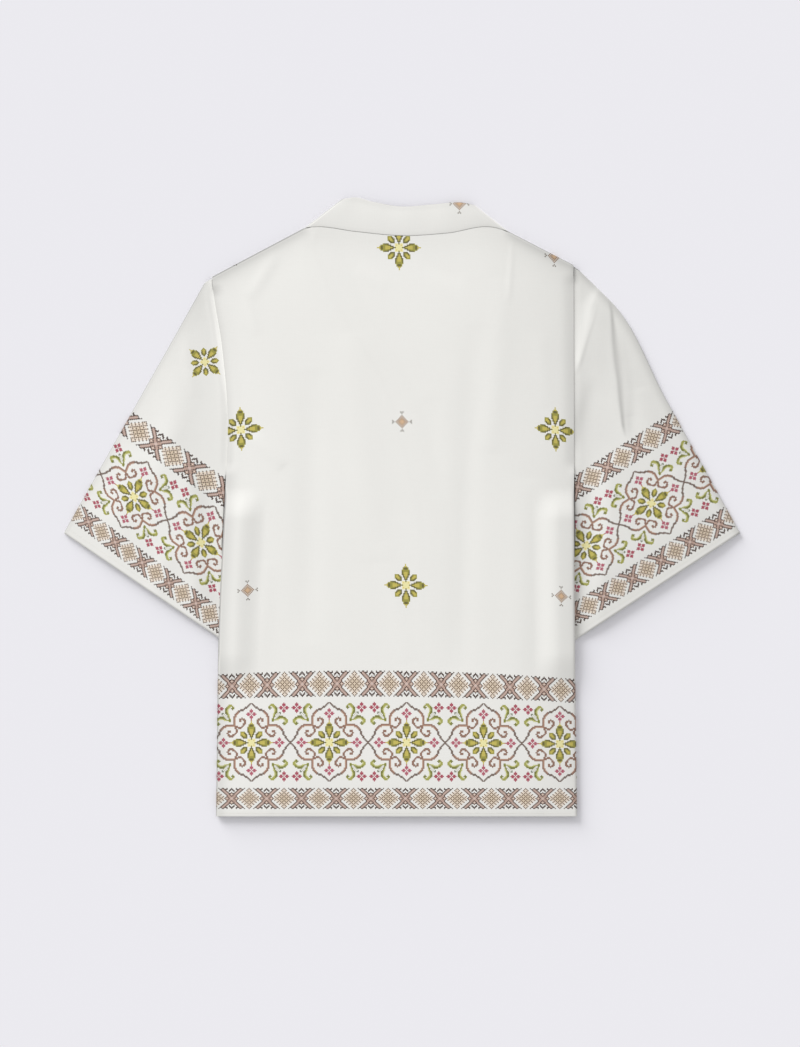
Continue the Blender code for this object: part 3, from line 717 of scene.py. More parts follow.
# %% Creases
Crease = namedtuple("Crease", "x0 y0 x1 y1 height width")
BACK_CREASES = [
    Crease(-137.0, 280.0, -168.0, 230.0, 0.68, 7.0),
    Crease(-162.0, 80.0, -130.0, 44.0, 0.59, 8.0),
    Crease(-98.0, 150.0, -104.0, -150.0, -0.6, 16.0),
    Crease(-60.0, 190.0, -30.0, -60.0, 0.54, 20.0),
    Crease(78.0, 200.0, 64.0, -180.0, -0.54, 14.0),
    Crease(112.0, 250.0, 98.0, 60.0, 0.54, 14.0),
    Crease(138.0, 30.0, 128.0, -220.0, 0.54, 18.0),
    Crease(122.5, 304.0, 117.0, 226.0, 0.42, 2.6),
    Crease(-94.0, 309.0, -97.5, 290.0, 0.3, 2.0),
    Crease(-176.0, 250.0, -160.0, 190.0, 0.3, 6.0),
    Crease(-50.0, 262.0, -16.0, 240.0, 0.21, 8.0),
    Crease(20.0, 268.0, 66.0, 250.0, -0.21, 9.0),
    Crease(-150.0, -60.0, -158.0, -190.0, 0.36, 10.0),
    Crease(-20.0, -40.0, 6.0, -170.0, 0.24, 12.0),
    Crease(150.0, 190.0, 160.0, 110.0, 0.3, 9.0),
    Crease(30.0, 120.0, 40.0, 10.0, -0.24, 12.0),
    Crease(-145.0, -322.0, -146.0, -340.0, 0.3, 5.0),
    Crease(-70.0, -318.0, -66.0, -340.0, -0.3, 6.0),
    Crease(-12.0, -324.0, -14.0, -340.0, 0.21, 6.0),
    Crease(146.0, -318.0, 150.0, -340.0, 0.3, 7.0),
]
LEFT_SLEEVE_CREASES = [
    Crease(-232.0, 150.0, -268.0, 20.0, 0.5, 16.0),
    Crease(-290.0, 60.0, -318.0, -20.0, 0.4, 14.0),
    Crease(-222.0, 80.0, -212.0, -10.0, -0.3, 9.0),
    Crease(-240.0, 190.0, -228.0, 120.0, 0.6, 7.0),
    Crease(-255.0, -40.0, -275.0, -110.0, 0.5, 12.0),
]
RIGHT_SLEEVE_CREASES = [
    Crease(212.0, 236.0, 194.0, 146.0, 0.7, 8.0),
    Crease(230.0, 222.0, 240.0, 90.0, -0.3, 3.6),
    Crease(236.0, 206.0, 250.0, 100.0, 0.6, 6.0),
    Crease(262.0, 130.0, 290.0, 10.0, 0.5, 16.0),
    Crease(206.0, 136.0, 190.0, 66.0, -0.5, 7.0),
    Crease(296.0, 40.0, 322.0, -30.0, 0.5, 12.0),
]
FRONT_CREASES = [
    Crease(-150.0, 200.0, -120.0, 60.0, 0.5, 14.0),
    Crease(-120.0, -60.0, -140.0, -220.0, 0.4, 12.0),
    Crease(140.0, 180.0, 120.0, 40.0, 0.5, 12.0),
    Crease(120.0, -100.0, 130.0, -250.0, 0.4, 12.0),
]


def creases(table, x, y):
    """The sum of the table's ridges: height times a bell across each line, faded at its two ends."""
    total = np.zeros_like(x)
    for row in table:
        along_x, along_y = row.x1 - row.x0, row.y1 - row.y0
        length = np.hypot(along_x, along_y)
        t = np.clip(((x - row.x0) * along_x + (y - row.y0) * along_y) / length**2, 0.0, 1.0)
        away = np.hypot(x - row.x0 - t * along_x, y - row.y0 - t * along_y)
        total += row.height * np.exp(-(away / row.width) ** 2) * np.sqrt(4 * t * (1 - t))
    return total


print(len(BACK_CREASES), "creases on the back")

# %% [markdown]
# ## Painted shade in the folds
#
# This shade is painted into the colour of the cloth. It is a little darker in its folds, along its edges and
# over its seams, where light is lost between two layers. Each row of a table is one height in the photograph:
# where the fold runs there, how much darker the cloth is painted, and how far the painted shade reaches to the
# left and to the right, all in the photograph's pixels. A fold that is painted paler than the cloth round it,
# as a highlight, has a depth below 0. Cloth also looks too bright in this render where it turns down steeply
# towards the light, so a second painted shade takes off there what the slope adds.

# %% Shade tables
FoldRow = namedtuple("FoldRow", "py px depth left right")
LIGHT_FROM = (-0.6, 0.8)
SLOPE_GLOW = 1.2
RIM_SHADE = 0.1
LIT_RIM_SHADE = 0.45


def fold(*rows):
    """The rows of one fold, with their columns named."""
    return [FoldRow(*row) for row in rows]


RIGHT_SLEEVE_FOLDS = [
    fold((300.0, 609.0, 0.0, 1.7, 1.7), (312.0, 611.5, 0.2, 1.7, 1.7), (320.0, 612.2, 0.28, 1.8, 1.8),
         (340.0, 613.5, 0.26, 2.4, 4.2), (360.0, 615.5, 0.26, 2.6, 6.0), (380.0, 618.0, 0.28, 2.0, 5.0),
         (400.0, 620.0, 0.3, 2.2, 3.4), (425.0, 622.6, 0.32, 1.6, 2.0), (438.0, 625.3, 0.0, 1.4, 1.4)),
    fold((300.0, 598.0, 0.0, 1.2, 2.0), (312.0, 596.0, 0.04, 1.2, 2.0), (320.0, 594.0, 0.06, 1.3, 2.0),
         (340.0, 587.3, 0.09, 1.3, 2.0), (360.0, 581.6, 0.1, 1.3, 2.0), (376.0, 576.5, 0.0, 1.3, 2.0)),
    fold((280.0, 598.0, 0.0, 6.0, 3.0), (290.0, 596.5, -0.1, 4.5, 3.5), (306.0, 589.0, -0.12, 9.0, 3.0),
         (320.0, 586.0, -0.13, 9.0, 5.0), (340.0, 582.5, -0.15, 9.0, 3.6), (360.0, 577.5, -0.17, 7.0, 2.8),
         (372.0, 574.0, -0.05, 4.0, 2.0), (380.0, 573.0, 0.0, 4.0, 2.0)),
    fold((374.0, 591.0, 0.0, 8.0, 7.0), (390.0, 586.5, 0.06, 8.0, 7.0), (405.0, 582.0, 0.09, 8.0, 7.0),
         (420.0, 577.0, 0.12, 8.0, 8.0), (437.0, 574.0, 0.12, 8.0, 7.0), (455.0, 572.0, 0.0, 8.0, 7.0)),
    fold((298.0, 602.0, 0.0, 8.0, 10.0), (320.0, 604.0, 0.06, 10.0, 9.0), (360.0, 602.0, 0.07, 16.0, 12.0),
         (400.0, 602.0, 0.02, 16.0, 14.0), (435.0, 602.0, 0.03, 18.0, 16.0), (460.0, 600.0, 0.0, 16.0, 14.0)),
    fold((365.0, 628.0, 0.0, 5.0, 8.0), (385.0, 627.0, 0.04, 5.0, 7.0), (400.0, 627.0, 0.08, 4.0, 6.0),
         (425.0, 628.0, 0.1, 3.0, 5.0), (442.0, 629.0, 0.0, 3.0, 5.0)),
]
LEFT_SLEEVE_FOLDS = [
    fold((270.0, 209.0, 0.0, 3.0, 3.0), (285.0, 211.5, -0.08, 2.0, 3.0), (300.0, 213.2, -0.2, 2.2, 3.0),
         (340.0, 219.4, -0.26, 2.6, 3.0), (375.0, 223.8, -0.22, 2.6, 3.0), (400.0, 227.2, -0.12, 2.6, 3.0),
         (415.0, 228.5, 0.0, 4.0, 3.0)),
    fold((278.0, 206.0, 0.04, 12.0, 3.0), (300.0, 202.0, 0.1, 14.0, 6.0), (318.0, 194.0, 0.07, 14.0, 12.0),
         (345.0, 178.0, 0.02, 12.0, 12.0), (370.0, 160.0, 0.0, 12.0, 12.0)),
]


def fold_shade(folds, x, y):
    """The sum of the folds: depth times a bell to each side of the line, measured along the row."""
    px, py = MIDDLE_PX[0] + x / PIXEL, MIDDLE_PX[1] - y / PIXEL
    total = np.zeros_like(x)
    for rows in folds:
        at = column(rows, "py")
        offset = px - np.interp(py, at, column(rows, "px"))
        depth = np.interp(py, at, column(rows, "depth"), left=0.0, right=0.0)
        left, right = (np.interp(py, at, column(rows, way)) for way in ("left", "right"))
        reach = np.where(offset > 0, right, left)
        total += depth * np.exp(-(offset / reach) ** 2)
    return total


def edge_shade(distance, depth, reach):
    """Darker by depth at an edge, fading out over about twice the reach."""
    return depth * np.exp(-(distance / reach) ** 2)


def lit(way):
    """1 where a direction in the plane of the table points to the light, 0 where it points away."""
    size = np.maximum(np.linalg.norm(way[..., :2], axis=-1), TINY)
    return smooth(0.2, 0.7, (way[..., 0] * LIGHT_FROM[0] + way[..., 1] * LIGHT_FROM[1]) / size)


def steep_shade(points, rightward):
    """Darker where cloth turns down towards the light: glow times slope over one plus the same."""
    normal = np.cross(np.gradient(points, axis=0), np.gradient(points, axis=1)) * (1 if rightward else -1)
    upright = normal[..., 2] / np.maximum(np.linalg.norm(normal, axis=-1), TINY)
    slope = np.sqrt(np.clip(1 - upright**2, 0.0, 1.0)) * lit(normal)
    shade = smooth(0.14, 0.4, slope) * SLOPE_GLOW * slope / (1 + SLOPE_GLOW * slope)
    for edge, inside in ((0, 1), (-1, -2)):
        shade[edge] = RIM_SHADE + LIT_RIM_SHADE * lit(points[edge] - points[inside])
        shade[:, edge] = RIM_SHADE + LIT_RIM_SHADE * lit(points[:, edge] - points[:, inside])
    return shade


# %% [markdown]
# ## The back
#
# The back panel is cut in one, from the neck seam to the turned hem. Its sides fold over to the front below
# the armholes, and its middle stands highest because the fronts and bands lie under it. Towards the underarm
# its sides climb over the sleeves, which were folded in beneath.

# %% Back
BACK_COLUMNS = 176
BACK_ROWS = 226
BACK_LENGTH = 600.0
TURN_ANGLES = [90, 80, 68, 55, 40, 22, 0]


def side_x(side, y):
    """Where a side edge is at the height y: a smooth curve through the table of edges."""
    return through(column(SIDE_EDGES, "y"), column(SIDE_EDGES, "left" if side is LEFT else "right"), y)


def side_distance(side, x, y):
    """How far inside a side edge a point is, measured across the shirt."""
    return (side_x(side, y) - x) * side.sign


def fold_drop(distance):
    """How far a panel has turned down, as a quarter circle, towards its fold."""
    inside = FOLD_RADIUS - np.clip(distance, 0.0, FOLD_RADIUS)
    return FOLD_RADIUS - np.sqrt(FOLD_RADIUS**2 - inside**2)


def armhole(side, y):
    """1 beside the armhole, 0 above and below it."""
    return smooth(side.tip_y - 8, side.tip_y - 22, y) * smooth(UNDERARM_Y + 14, UNDERARM_Y + 30, y)


def side_turn(y):
    """1 below the underarm, where the side is a fold, 0 above it."""
    return smooth(UNDERARM_Y + 5, UNDERARM_Y - 15, y)


def side_lift(x, y):
    """How far the sides climb over the sleeves: a ramp in from each side times a ramp at both ends."""
    along = smooth(22.0, -14.0, y) * smooth(-205.0, -160.0, y)
    return SIDE_LIFT * along * sum(smooth(46.0, 16.0, side_distance(side, x, y)) for side in (LEFT, RIGHT))


def back_outline_y(x):
    """The upper edge: straight shoulders, and the curve of the neck seam between them."""
    neck = through(column(NECK_BAND, "seam_x"), column(NECK_BAND, "seam_y"), x) - SEAM_GAP
    left = np.interp(x, [side_x(LEFT, LEFT.tip_y), LEFT.neck_x], [LEFT.tip_y, LEFT.neck_y])
    right = np.interp(x, [RIGHT.neck_x, side_x(RIGHT, RIGHT.tip_y)], [RIGHT.neck_y, RIGHT.tip_y])
    return np.where(x < LEFT.neck_x, left, np.where(x > RIGHT.neck_x, right, neck))


def back_height(x, y, below_top):
    """Flat in the middle, lower at every edge, with the sides lifted over the sleeves."""
    left, right, hem = side_distance(LEFT, x, y), side_distance(RIGHT, x, y), y - BACK_HEM_Y
    rise = 1.0
    for distance, reach in ((left, LEFT_REACH), (right, RIGHT_REACH), (below_top, TOP_REACH), (hem, HEM_REACH)):
        rise = rise * (1 - np.exp(-np.maximum(distance, 0.0) / reach))
    lap = armhole(LEFT, y) * np.exp(-(left / LAP_REACH) ** 2)
    lap = lap + armhole(RIGHT, y) * np.exp(-(right / LAP_REACH) ** 2)
    hem_slope = np.exp(-(hem / HEM_SLOPE_REACH) ** 2)
    edge = EDGE_TOP - (EDGE_TOP - ARMHOLE_TOP) * lap - (EDGE_TOP - HEM_TOP) * hem_slope
    at_neck = smooth(LEFT.neck_x - 2, LEFT.neck_x + 8, x) * smooth(RIGHT.neck_x + 2, RIGHT.neck_x - 8, x)
    turned = side_turn(y) * (fold_drop(left) + fold_drop(right)) + (1 - at_neck) * fold_drop(below_top)
    turned_hem = HEM_TURNING * smooth(9.5, 7.5, hem) * smooth(0.0, 0.6, hem)
    height = edge + rise * (BACK_TOP - edge) + creases(BACK_CREASES, x, y) * np.sqrt(rise)
    return height + side_lift(x, y) - turned + turned_hem


def spread(count, power_start, power_end):
    """Shares from 0 to 1 that lie closer together at one end or both."""
    t = np.linspace(0.0, 1.0, count)
    start = t**power_start
    end = 1 - (1 - t) ** power_end
    return start * (1 - t) + end * t


def edge_shares(count, fine, width):
    """Shares across a panel: fine steps, in millimetres, at both edges and even steps between them."""
    near = np.asarray(fine) / width
    return np.concatenate([near, np.linspace(near[-1], 1 - near[-1], count)[1:-1], 1 - near[::-1]])


FOLD_STEPS = FOLD_RADIUS * (1 - np.sin(np.radians(TURN_ANGLES)))
EDGE_STEPS = np.append(FOLD_STEPS, [3.4, 5.0])


def back_points():
    """Rows that fan from the upper edge to the hem, and columns that follow the side edges."""
    left_top, right_top = side_x(LEFT, LEFT.tip_y), side_x(RIGHT, RIGHT.tip_y)
    across = edge_shares(BACK_COLUMNS, EDGE_STEPS, right_top - left_top)[None, :]
    top_x = left_top + across * (right_top - left_top)
    top_y = back_outline_y(top_x)
    down = edge_shares(BACK_ROWS, EDGE_STEPS, BACK_LENGTH)[:, None]
    y = top_y + down * (BACK_HEM_Y - top_y)
    x = side_x(LEFT, y) + across * (side_x(RIGHT, y) - side_x(LEFT, y))
    return np.stack([x, y, back_height(x, y, top_y - y)], axis=-1)


def back_shade(x, y, below_top):
    """Seams of the hidden front that show through, and painted shade along each edge and towards the right.

    A trace of painted light makes the hem paler.
    """
    total = np.zeros_like(x)
    for table, sign in ((LEFT_BAND, 1.0), (RIGHT_BAND, -1.0)):
        seam = through(column(table, "seam_y"), column(table, "seam_x"), y)
        total += np.exp(-((x - seam) / 4.0) ** 2) * 0.006 * smooth(306.0, 280.0, y)
        total += 0.006 * smooth(-3.0, 3.0, (x - seam) * sign) * smooth(36.0, 30.0, (x - seam) * sign)
    left, right = side_distance(LEFT, x, y), side_distance(RIGHT, x, y)
    at_neck = smooth(LEFT.neck_x - 4, LEFT.neck_x + 8, x) * smooth(RIGHT.neck_x + 4, RIGHT.neck_x - 8, x)
    at_top = (1 - at_neck) * edge_shade(below_top, 0.2, 9.0) + edge_shade(below_top, 0.08, 24.0)
    total += np.maximum(edge_shade(left, 0.18, 11.0), at_top) + edge_shade(right, 0.08, 3.0)
    total += (0.02 + 0.08 * smooth(140.0, -140.0, y)) * np.exp(-right / 26)
    # Painted light: a trace paler along the hem.
    total -= edge_shade(y - BACK_HEM_Y, 0.03, 8.0)
    # Painted shade: darker towards the right.
    return total + 0.035 * smooth(10.0, 180.0, x) + 0.025 * smooth(40.0, 160.0, x) * smooth(60.0, 250.0, y)


points = back_points()
x, y = points[..., 0], points[..., 1]
stitches = stitch_at(BODY_PRINT, x, y)
back = shell("back_cloth", points, True, body_cloth, stitches, shade=back_shade(x, y, y[:1] - y))
note("back", back, flat_area(points * SEEN_FROM_ABOVE))

# %% [markdown]
# ## The neck band
#
# A standing band closes the neck. Pressed flat, it fans out above the seam as a shallow, slightly rounded
# strip, cut double. The seam below it shows as a thin dark line.

# %% Neck band
BAND_HEIGHT = 32.0
BAND_LENGTH = 223.3
BAND_RIPPLE = 0.25
BAND_DIAMOND_PX = (459.3, 204.2)
BAND_STITCH = PIXEL * 1.16


def neck_band_points():
    """Rows from the free edge to the seam, crowned by half an ellipse, with both ends folded down."""
    down = edge_shares(22, [0.0, 0.25, 0.6, 1.0], BAND_HEIGHT)[:, None]
    along = edge_shares(120, [0.0, 0.4, 1.0, 2.0, 3.2], BAND_LENGTH)[None, :]
    seam_x = LEFT.neck_x + along * (RIGHT.neck_x - LEFT.neck_x)
    knots = column(NECK_BAND, "seam_x")
    seam_y = through(knots, column(NECK_BAND, "seam_y"), seam_x)
    free_x = through(knots, column(NECK_BAND, "free_x"), seam_x)
    free_y = through(knots, column(NECK_BAND, "free_y"), seam_x)
    x = free_x + down * (seam_x - free_x)
    y = free_y + down * (seam_y - free_y)
    upright = np.abs(free_y - seam_y) / np.hypot(seam_x - free_x, seam_y - free_y)
    end = np.minimum(along, 1 - along) * BAND_LENGTH * upright
    ripple = BAND_RIPPLE * np.sin(x * 0.11 + 0.6) * np.sin(x * 0.043 + 1.1) * (1 - down)
    crown = BAND_CROWN * np.sqrt(4 * down * (1 - down))
    z = EDGE_TOP + crown - fold_drop(end) + ripple * smooth(0.0, 20.0, end)
    return np.stack([x, y, z], axis=-1)


points = neck_band_points()
x, y = points[..., 0], points[..., 1]
band_x, band_y = from_pixels(*BAND_DIAMOND_PX)
diamond_q = BODY_PHASES[2][1] + SCATTER_UP
band_stitches = (MEDALLION + (x - band_x) / BAND_STITCH, diamond_q + (y - band_y) / BAND_STITCH)
# Painted shade: a trace darker all over, along the free edge and towards the right.
band_shade = 0.02 + edge_shade((y[:1] - y) * 0.9, 0.1, 4.0) + 0.05 * smooth(20.0, 90.0, x)
neck_band = shell("neck_band_cloth", points, True, band_cloth, band_stitches, BAND_SHELL, shade=band_shade)
note("neck_band", neck_band, flat_area(points * SEEN_FROM_ABOVE))

# %% [markdown]
# ## The fronts
#
# The two front panels lie face down under the back. Each runs from its side fold to the band that is sewn
# down the V of the neck and the button stand. The right band laps over the left one, and both swell over the
# buttons.

# %% Fronts and front bands
FRONT_LENGTH = 590.0
FRONT_BAND_LENGTH = 640.0
UNDER_BUTTON = 9.0
BESIDE_BUTTON = 14.0


def seam_x(side, y):
    """Where the seam between a front and its band is, at the height y."""
    return through(column(side.band, "seam_y"), column(side.band, "seam_x"), y)


def band_climb(x, y):
    """How far the left side's cloth climbs to lie over the right band: one ramp at its free edge."""
    free_x = through(column(RIGHT_BAND, "free_y"), column(RIGHT_BAND, "free_x"), y)
    return BAND_CLIMB * smooth(-6.5, -1.0, x - free_x)


def button_rise(x, y):
    """How far the bands swell over the buttons: a soft round plateau over each."""
    total = np.zeros_like(x)
    for centre_y in BUTTON_YS:
        total += smooth(BESIDE_BUTTON, UNDER_BUTTON, np.hypot(x - BUTTON_X, y - centre_y))
    return BUTTON_RISE * total


def front_points(side):
    """Rows from the shoulder to the hem, each from the side fold to the band's seam."""
    down = edge_shares(110, EDGE_STEPS, FRONT_LENGTH)[:, None]
    across = spread(60, 1.6, 1.0)[None, :]
    outer_y = side.tip_y + down * (FRONT_HEM_Y - side.tip_y)
    inner_y = side.neck_y + down * (FRONT_HEM_Y - side.neck_y)
    outer_x = side_x(side, outer_y)
    inner_x = seam_x(side, inner_y) + side.sign * SEAM_GAP
    x = outer_x + across * (inner_x - outer_x)
    y = outer_y + across * (inner_y - outer_y)
    below_top = down * FRONT_LENGTH * np.ones_like(x)
    z = side_lift(x, y) + side_turn(y) * fold_drop(side_distance(side, x, y)) + fold_drop(below_top)
    inside = smooth(0.0, 30.0, side_distance(side, x, y)) * smooth(0.0, 30.0, below_top)
    z = z + np.maximum(creases(FRONT_CREASES, x, y), 0.0) * inside
    if side is LEFT:
        z = z + band_climb(x, y)
    return np.stack([x, y, z], axis=-1)


def front_band_points(side):
    """Rows down the band, each from the seam to the free edge."""
    down = edge_shares(260, FOLD_STEPS, FRONT_BAND_LENGTH)[:, None]
    across = np.linspace(0.0, 1.0, 24)[None, :]
    start_y = side.neck_y + down * (FRONT_HEM_Y - side.neck_y)
    knots = column(side.band, "seam_y")
    start_x = seam_x(side, start_y)
    free_x = through(knots, column(side.band, "free_x"), start_y)
    free_y = through(knots, column(side.band, "free_y"), start_y)
    x = start_x + across * (free_x - start_x)
    y = start_y + across * (free_y - start_y)
    z = button_rise(x, y) + fold_drop(down * FRONT_BAND_LENGTH)
    if side is LEFT:
        z = z + band_climb(x, y)
    return np.stack([x, y, z], axis=-1)


for side, name in ((LEFT, "left"), (RIGHT, "right")):
    # The fronts lie face down, so it is the right one whose columns run rightward on the outer face.
    rightward = side is RIGHT
    points = front_points(side)
    stitches = stitch_at(BODY_PRINT, points[..., 0], points[..., 1])
    item = shell(f"{name}_front_cloth", points, rightward, body_cloth, stitches)
    note(f"front_{name}", item, flat_area(points * SEEN_FROM_ABOVE))
    points = front_band_points(side)
    item = shell(f"{name}_front_band_cloth", points, rightward, plain_cloth, None, BAND_SHELL)
    note(f"front_band_{name}", item, flat_area(points * SEEN_FROM_ABOVE))

# %% [markdown]
# ## The sleeves
#
# A sleeve is a tube pressed flat. Its outer edge is a long fold from the shoulder to the cuff, and its inner
# edge runs under the body to the underarm seam. Along the armhole the upper layer tucks in below the edge of
# the back. We go round each section: over the upper layer from the inner edge, round the outer fold, and back
# along the lower layer.

# %% Sleeves
ROWS_ABOVE_UNDERARM = 124
ROWS_BELOW_UNDERARM = 64
TURN_COLUMNS = 7
REACH_COLUMNS = 14
FOLD_COLUMNS = 13
LOWER_COLUMNS = 14
INNER_COLUMNS = TURN_COLUMNS + REACH_COLUMNS
TUCK_END = 1.8
PUFF_REACH_LEFT = 60.0
PUFF_REACH_RIGHT = 34.0
SEAM_RIDGE = 0.25


def outer_sleeve_edge(side, share):
    """A place on the outer fold, by its share of the way from the shoulder to the cuff."""
    x, y = column(side.sleeve_edge, "x"), column(side.sleeve_edge, "y")
    run = np.append(0.0, np.cumsum(np.hypot(np.diff(x), np.diff(y))))
    return through(run, x, share * run[-1]), through(run, y, share * run[-1])


def inner_sleeve_edge(side, y):
    """The inner edge at the height y: at the armhole, and further under the body towards the cuff."""
    under = (side.under_body + 0.5) * smooth(-36.0, -120.0, y) - 0.5
    return side_x(side, y) - side.sign * under


def sleeve_points(side):
    """Rows from the shoulder to the cuff. Each row is one section round the flattened tube."""
    above = np.linspace(side.sleeve_top_y, UNDERARM_Y + 12, ROWS_ABOVE_UNDERARM)
    below = np.linspace(UNDERARM_Y + 1, side.cuff_y, ROWS_BELOW_UNDERARM)
    inner_y = np.append(above, below)
    inner_x = inner_sleeve_edge(side, inner_y)
    outer_x, outer_y = outer_sleeve_edge(side, (inner_y[0] - inner_y) / (inner_y[0] - inner_y[-1]))
    width = np.hypot(outer_x - inner_x, outer_y - inner_y)[:, None]
    lap = armhole(side, inner_y)[:, None]
    flat = smooth(UNDERARM_Y + 1, UNDERARM_Y + 12, inner_y)[:, None]
    squeeze = np.minimum(1.0, (width - 3) / 70)

    radius = SLEEVE_FOLD
    arc = np.radians(np.linspace(10, 90, TURN_COLUMNS))
    reach = np.linspace(2.6, 24.0, REACH_COLUMNS)
    turned = np.append(radius * (1 - np.cos(arc)), reach)
    lapped = np.append(np.linspace(-SLEEVE_TUCK, TUCK_END, TURN_COLUMNS), reach)
    flat_edge = np.append(np.linspace(0.0, TUCK_END, TURN_COLUMNS), reach)
    open_edge = flat_edge + lap * (lapped - flat_edge)
    upper_in = (turned + flat * (open_edge - turned)) * squeeze
    lower_in = (turned + flat * (flat_edge - turned)) * squeeze
    out = np.radians(np.linspace(90, -90, FOLD_COLUMNS))
    arc_out = radius * (1 - np.cos(out))
    upper_mid = upper_in[:, -1:] + spread(96, 1.0, 1.6)[1:-1] * (width - upper_in[:, -1:] - radius)
    lower_share = np.linspace(0.95, 0.05, LOWER_COLUMNS)
    lower_mid = lower_in[:, -1:] + lower_share * (width - lower_in[:, -1:] - radius)
    from_inner = np.concatenate([upper_in, upper_mid, width - arc_out, lower_mid, lower_in[:, ::-1]], axis=1)

    arc_height = np.append(np.sin(arc), np.ones(len(reach)))
    upper_level = arc_height + flat * (1 - arc_height)
    ones = np.ones_like(width)
    level = np.concatenate([
        upper_level, np.ones_like(upper_mid), ones * np.sin(out), -np.ones_like(lower_mid),
        -upper_level[:, ::-1],
    ], axis=1)
    x = inner_x[:, None] + from_inner / width * (outer_x - inner_x)[:, None]
    y = inner_y[:, None] + from_inner / width * (outer_y - inner_y)[:, None]
    upper = np.clip(level, 0.0, 1.0) ** 4
    rise = sleeve_rise(side, x, y, from_inner, width, lap, flat, inner_y)
    shade = sleeve_shade(side, x, y, from_inner, width - from_inner) * (level > -0.2)
    return np.stack([x, y, radius * (1 + level) + upper * rise], axis=-1), len(above), shade


def sleeve_shade(side, x, y, from_inner, from_outer):
    """Painted shade and highlight in a sleeve's folds and on its edges.

    The right sleeve lies away from the light, so it is painted darker all over.
    """
    if side is RIGHT:
        edges = edge_shade(from_outer, 0.2, 6.5) + 0.1 + 0.05 * smooth(30.0, 5.0, from_inner)
        return edges + fold_shade(RIGHT_SLEEVE_FOLDS, x, y)
    edges = edge_shade(from_outer, 0.1, 3.5) + edge_shade(from_outer - 26.0, 0.055, 24.0)
    return edges + fold_shade(LEFT_SLEEVE_FOLDS, x, y)


def sleeve_rise(side, x, y, from_inner, width, lap, flat, inner_y):
    """What the upper layer stands above a plain flattened tube."""
    from_outer = width - from_inner
    start = smooth(13.0, 50.0, from_inner)
    start = start + flat * (smooth(0.0, 90.0, from_inner) - start)
    cuff = 0.55 + 0.45 * smooth(0.0, 60.0, inner_y - side.cuff_y)[:, None]
    puff_reach = PUFF_REACH_RIGHT if side is RIGHT else PUFF_REACH_LEFT
    puff = (SLEEVE_TOP - 2 * SLEEVE_FOLD) * start * smooth(SLEEVE_FOLD, puff_reach, from_outer) * cuff
    dip = (SLEEVE_TUCK_TOP - 2 * SLEEVE_FOLD) * lap * smooth(9.0, 0.0, from_inner)
    table = LEFT_SLEEVE_CREASES if side is LEFT else RIGHT_SLEEVE_CREASES
    crumple = creases(table, x, y) * smooth(1.0, 9.0, from_inner) * smooth(2.0, 22.0, from_outer)
    ridge = np.zeros_like(x)
    if side is LEFT:
        beside = smooth(0.2, 3.0, from_inner) * smooth(13.0, 4.0, from_inner)
        ridge = SEAM_RIDGE * beside * (smooth(250.0, 225.0, inner_y) * smooth(70.0, 160.0, inner_y))[:, None]
    return puff + dip + crumple * start + ridge * lap


sleeve_tubes = {}
for side, name, grid, material in (
        (LEFT, "left", LEFT_SLEEVE_PRINT, left_cloth),
        (RIGHT, "right", RIGHT_SLEEVE_PRINT, right_cloth),
):
    points, closed_from, shade = sleeve_points(side)
    sleeve_tubes[name] = points
    stitches = stitch_at(grid, points[..., 0], points[..., 1])
    item = shell(f"{name}_sleeve_cloth", points, side is RIGHT, material, stitches,
                 closed_from=closed_from, shade=shade)
    note(f"sleeve_{name}", item, flat_area(points, closed_from))

# %% [markdown]
# ## Stitching
#
# A machine stitch is a short length of thread between two needle holes. One stitch is a small spindle: rings of
# points about a line, thick in the middle and thin at both ends. Its place is a function of how far it is along
# the seam, so a whole row is one array of spindles.

# %% Seam stitches
STITCH = 2.6
THREAD = 0.17
THREAD_CORNERS = [45.0, 135.0, 225.0, 315.0]
RING_PLACES = np.array([0.12, 0.3, 0.7, 0.88])
RING_SIZES = np.array([0.35, 1.0, 1.0, 0.35])
HEM_SEAM = 3.8


def stitch_row(name, path):
    """Spindles along a path. path holds x, y and z in millimetres, one row for each point."""
    run = np.append(0.0, np.cumsum(np.linalg.norm(np.diff(path, axis=0), axis=1)))
    count = int(run[-1] / STITCH)
    s = (np.arange(count)[:, None] + RING_PLACES) * STITCH
    centre = np.stack([np.interp(s, run, path[:, i]) for i in range(3)], axis=-1)
    ahead = np.stack([np.interp(s + 0.5, run, path[:, i]) - np.interp(s - 0.5, run, path[:, i])
                      for i in range(2)], axis=-1)
    ahead = ahead / np.maximum(np.linalg.norm(ahead, axis=-1, keepdims=True), TINY)
    turn = np.radians(THREAD_CORNERS)
    thick = THREAD * RING_SIZES[None, :, None]
    side_way = np.cos(turn) * thick
    up_way = np.sin(turn) * thick
    x = centre[..., None, 0] - ahead[..., None, 1] * side_way
    y = centre[..., None, 1] + ahead[..., None, 0] * side_way
    z = centre[..., None, 2] + up_way
    points = np.stack([x, y, z], axis=-1).reshape(-1, 3)
    number = np.arange(count * 16).reshape(count, 4, 4)
    beside = np.roll(number, -1, axis=2)
    quads = np.stack([number[:, :-1], beside[:, :-1], beside[:, 1:], number[:, 1:]], axis=-1).reshape(-1, 4)
    ends = np.concatenate([number[:, 0, ::-1], number[:, 3]])
    mesh = bpy.data.meshes.new(name)
    fill_mesh(mesh, points, np.concatenate([quads, ends]))
    print(name, count, "stitches")
    return add_object(name, mesh, thread_material)


x = np.linspace(side_x(LEFT, -336.0) + 5, side_x(RIGHT, -336.0) - 5, 400)
y = np.full_like(x, BACK_HEM_Y + HEM_SEAM)
hem_path = np.stack([x, y, back_height(x, y, 500.0)], axis=-1)
stitch_rows = {"back": stitch_row("hem_stitches", hem_path)}
after_upper = FOLD_COLUMNS + LOWER_COLUMNS + INNER_COLUMNS
for name, points in sleeve_tubes.items():
    cuff_path = points[-4, INNER_COLUMNS:-after_upper]
    stitch_rows[f"sleeve_{name}"] = stitch_row(f"{name}_cuff_stitches", cuff_path)

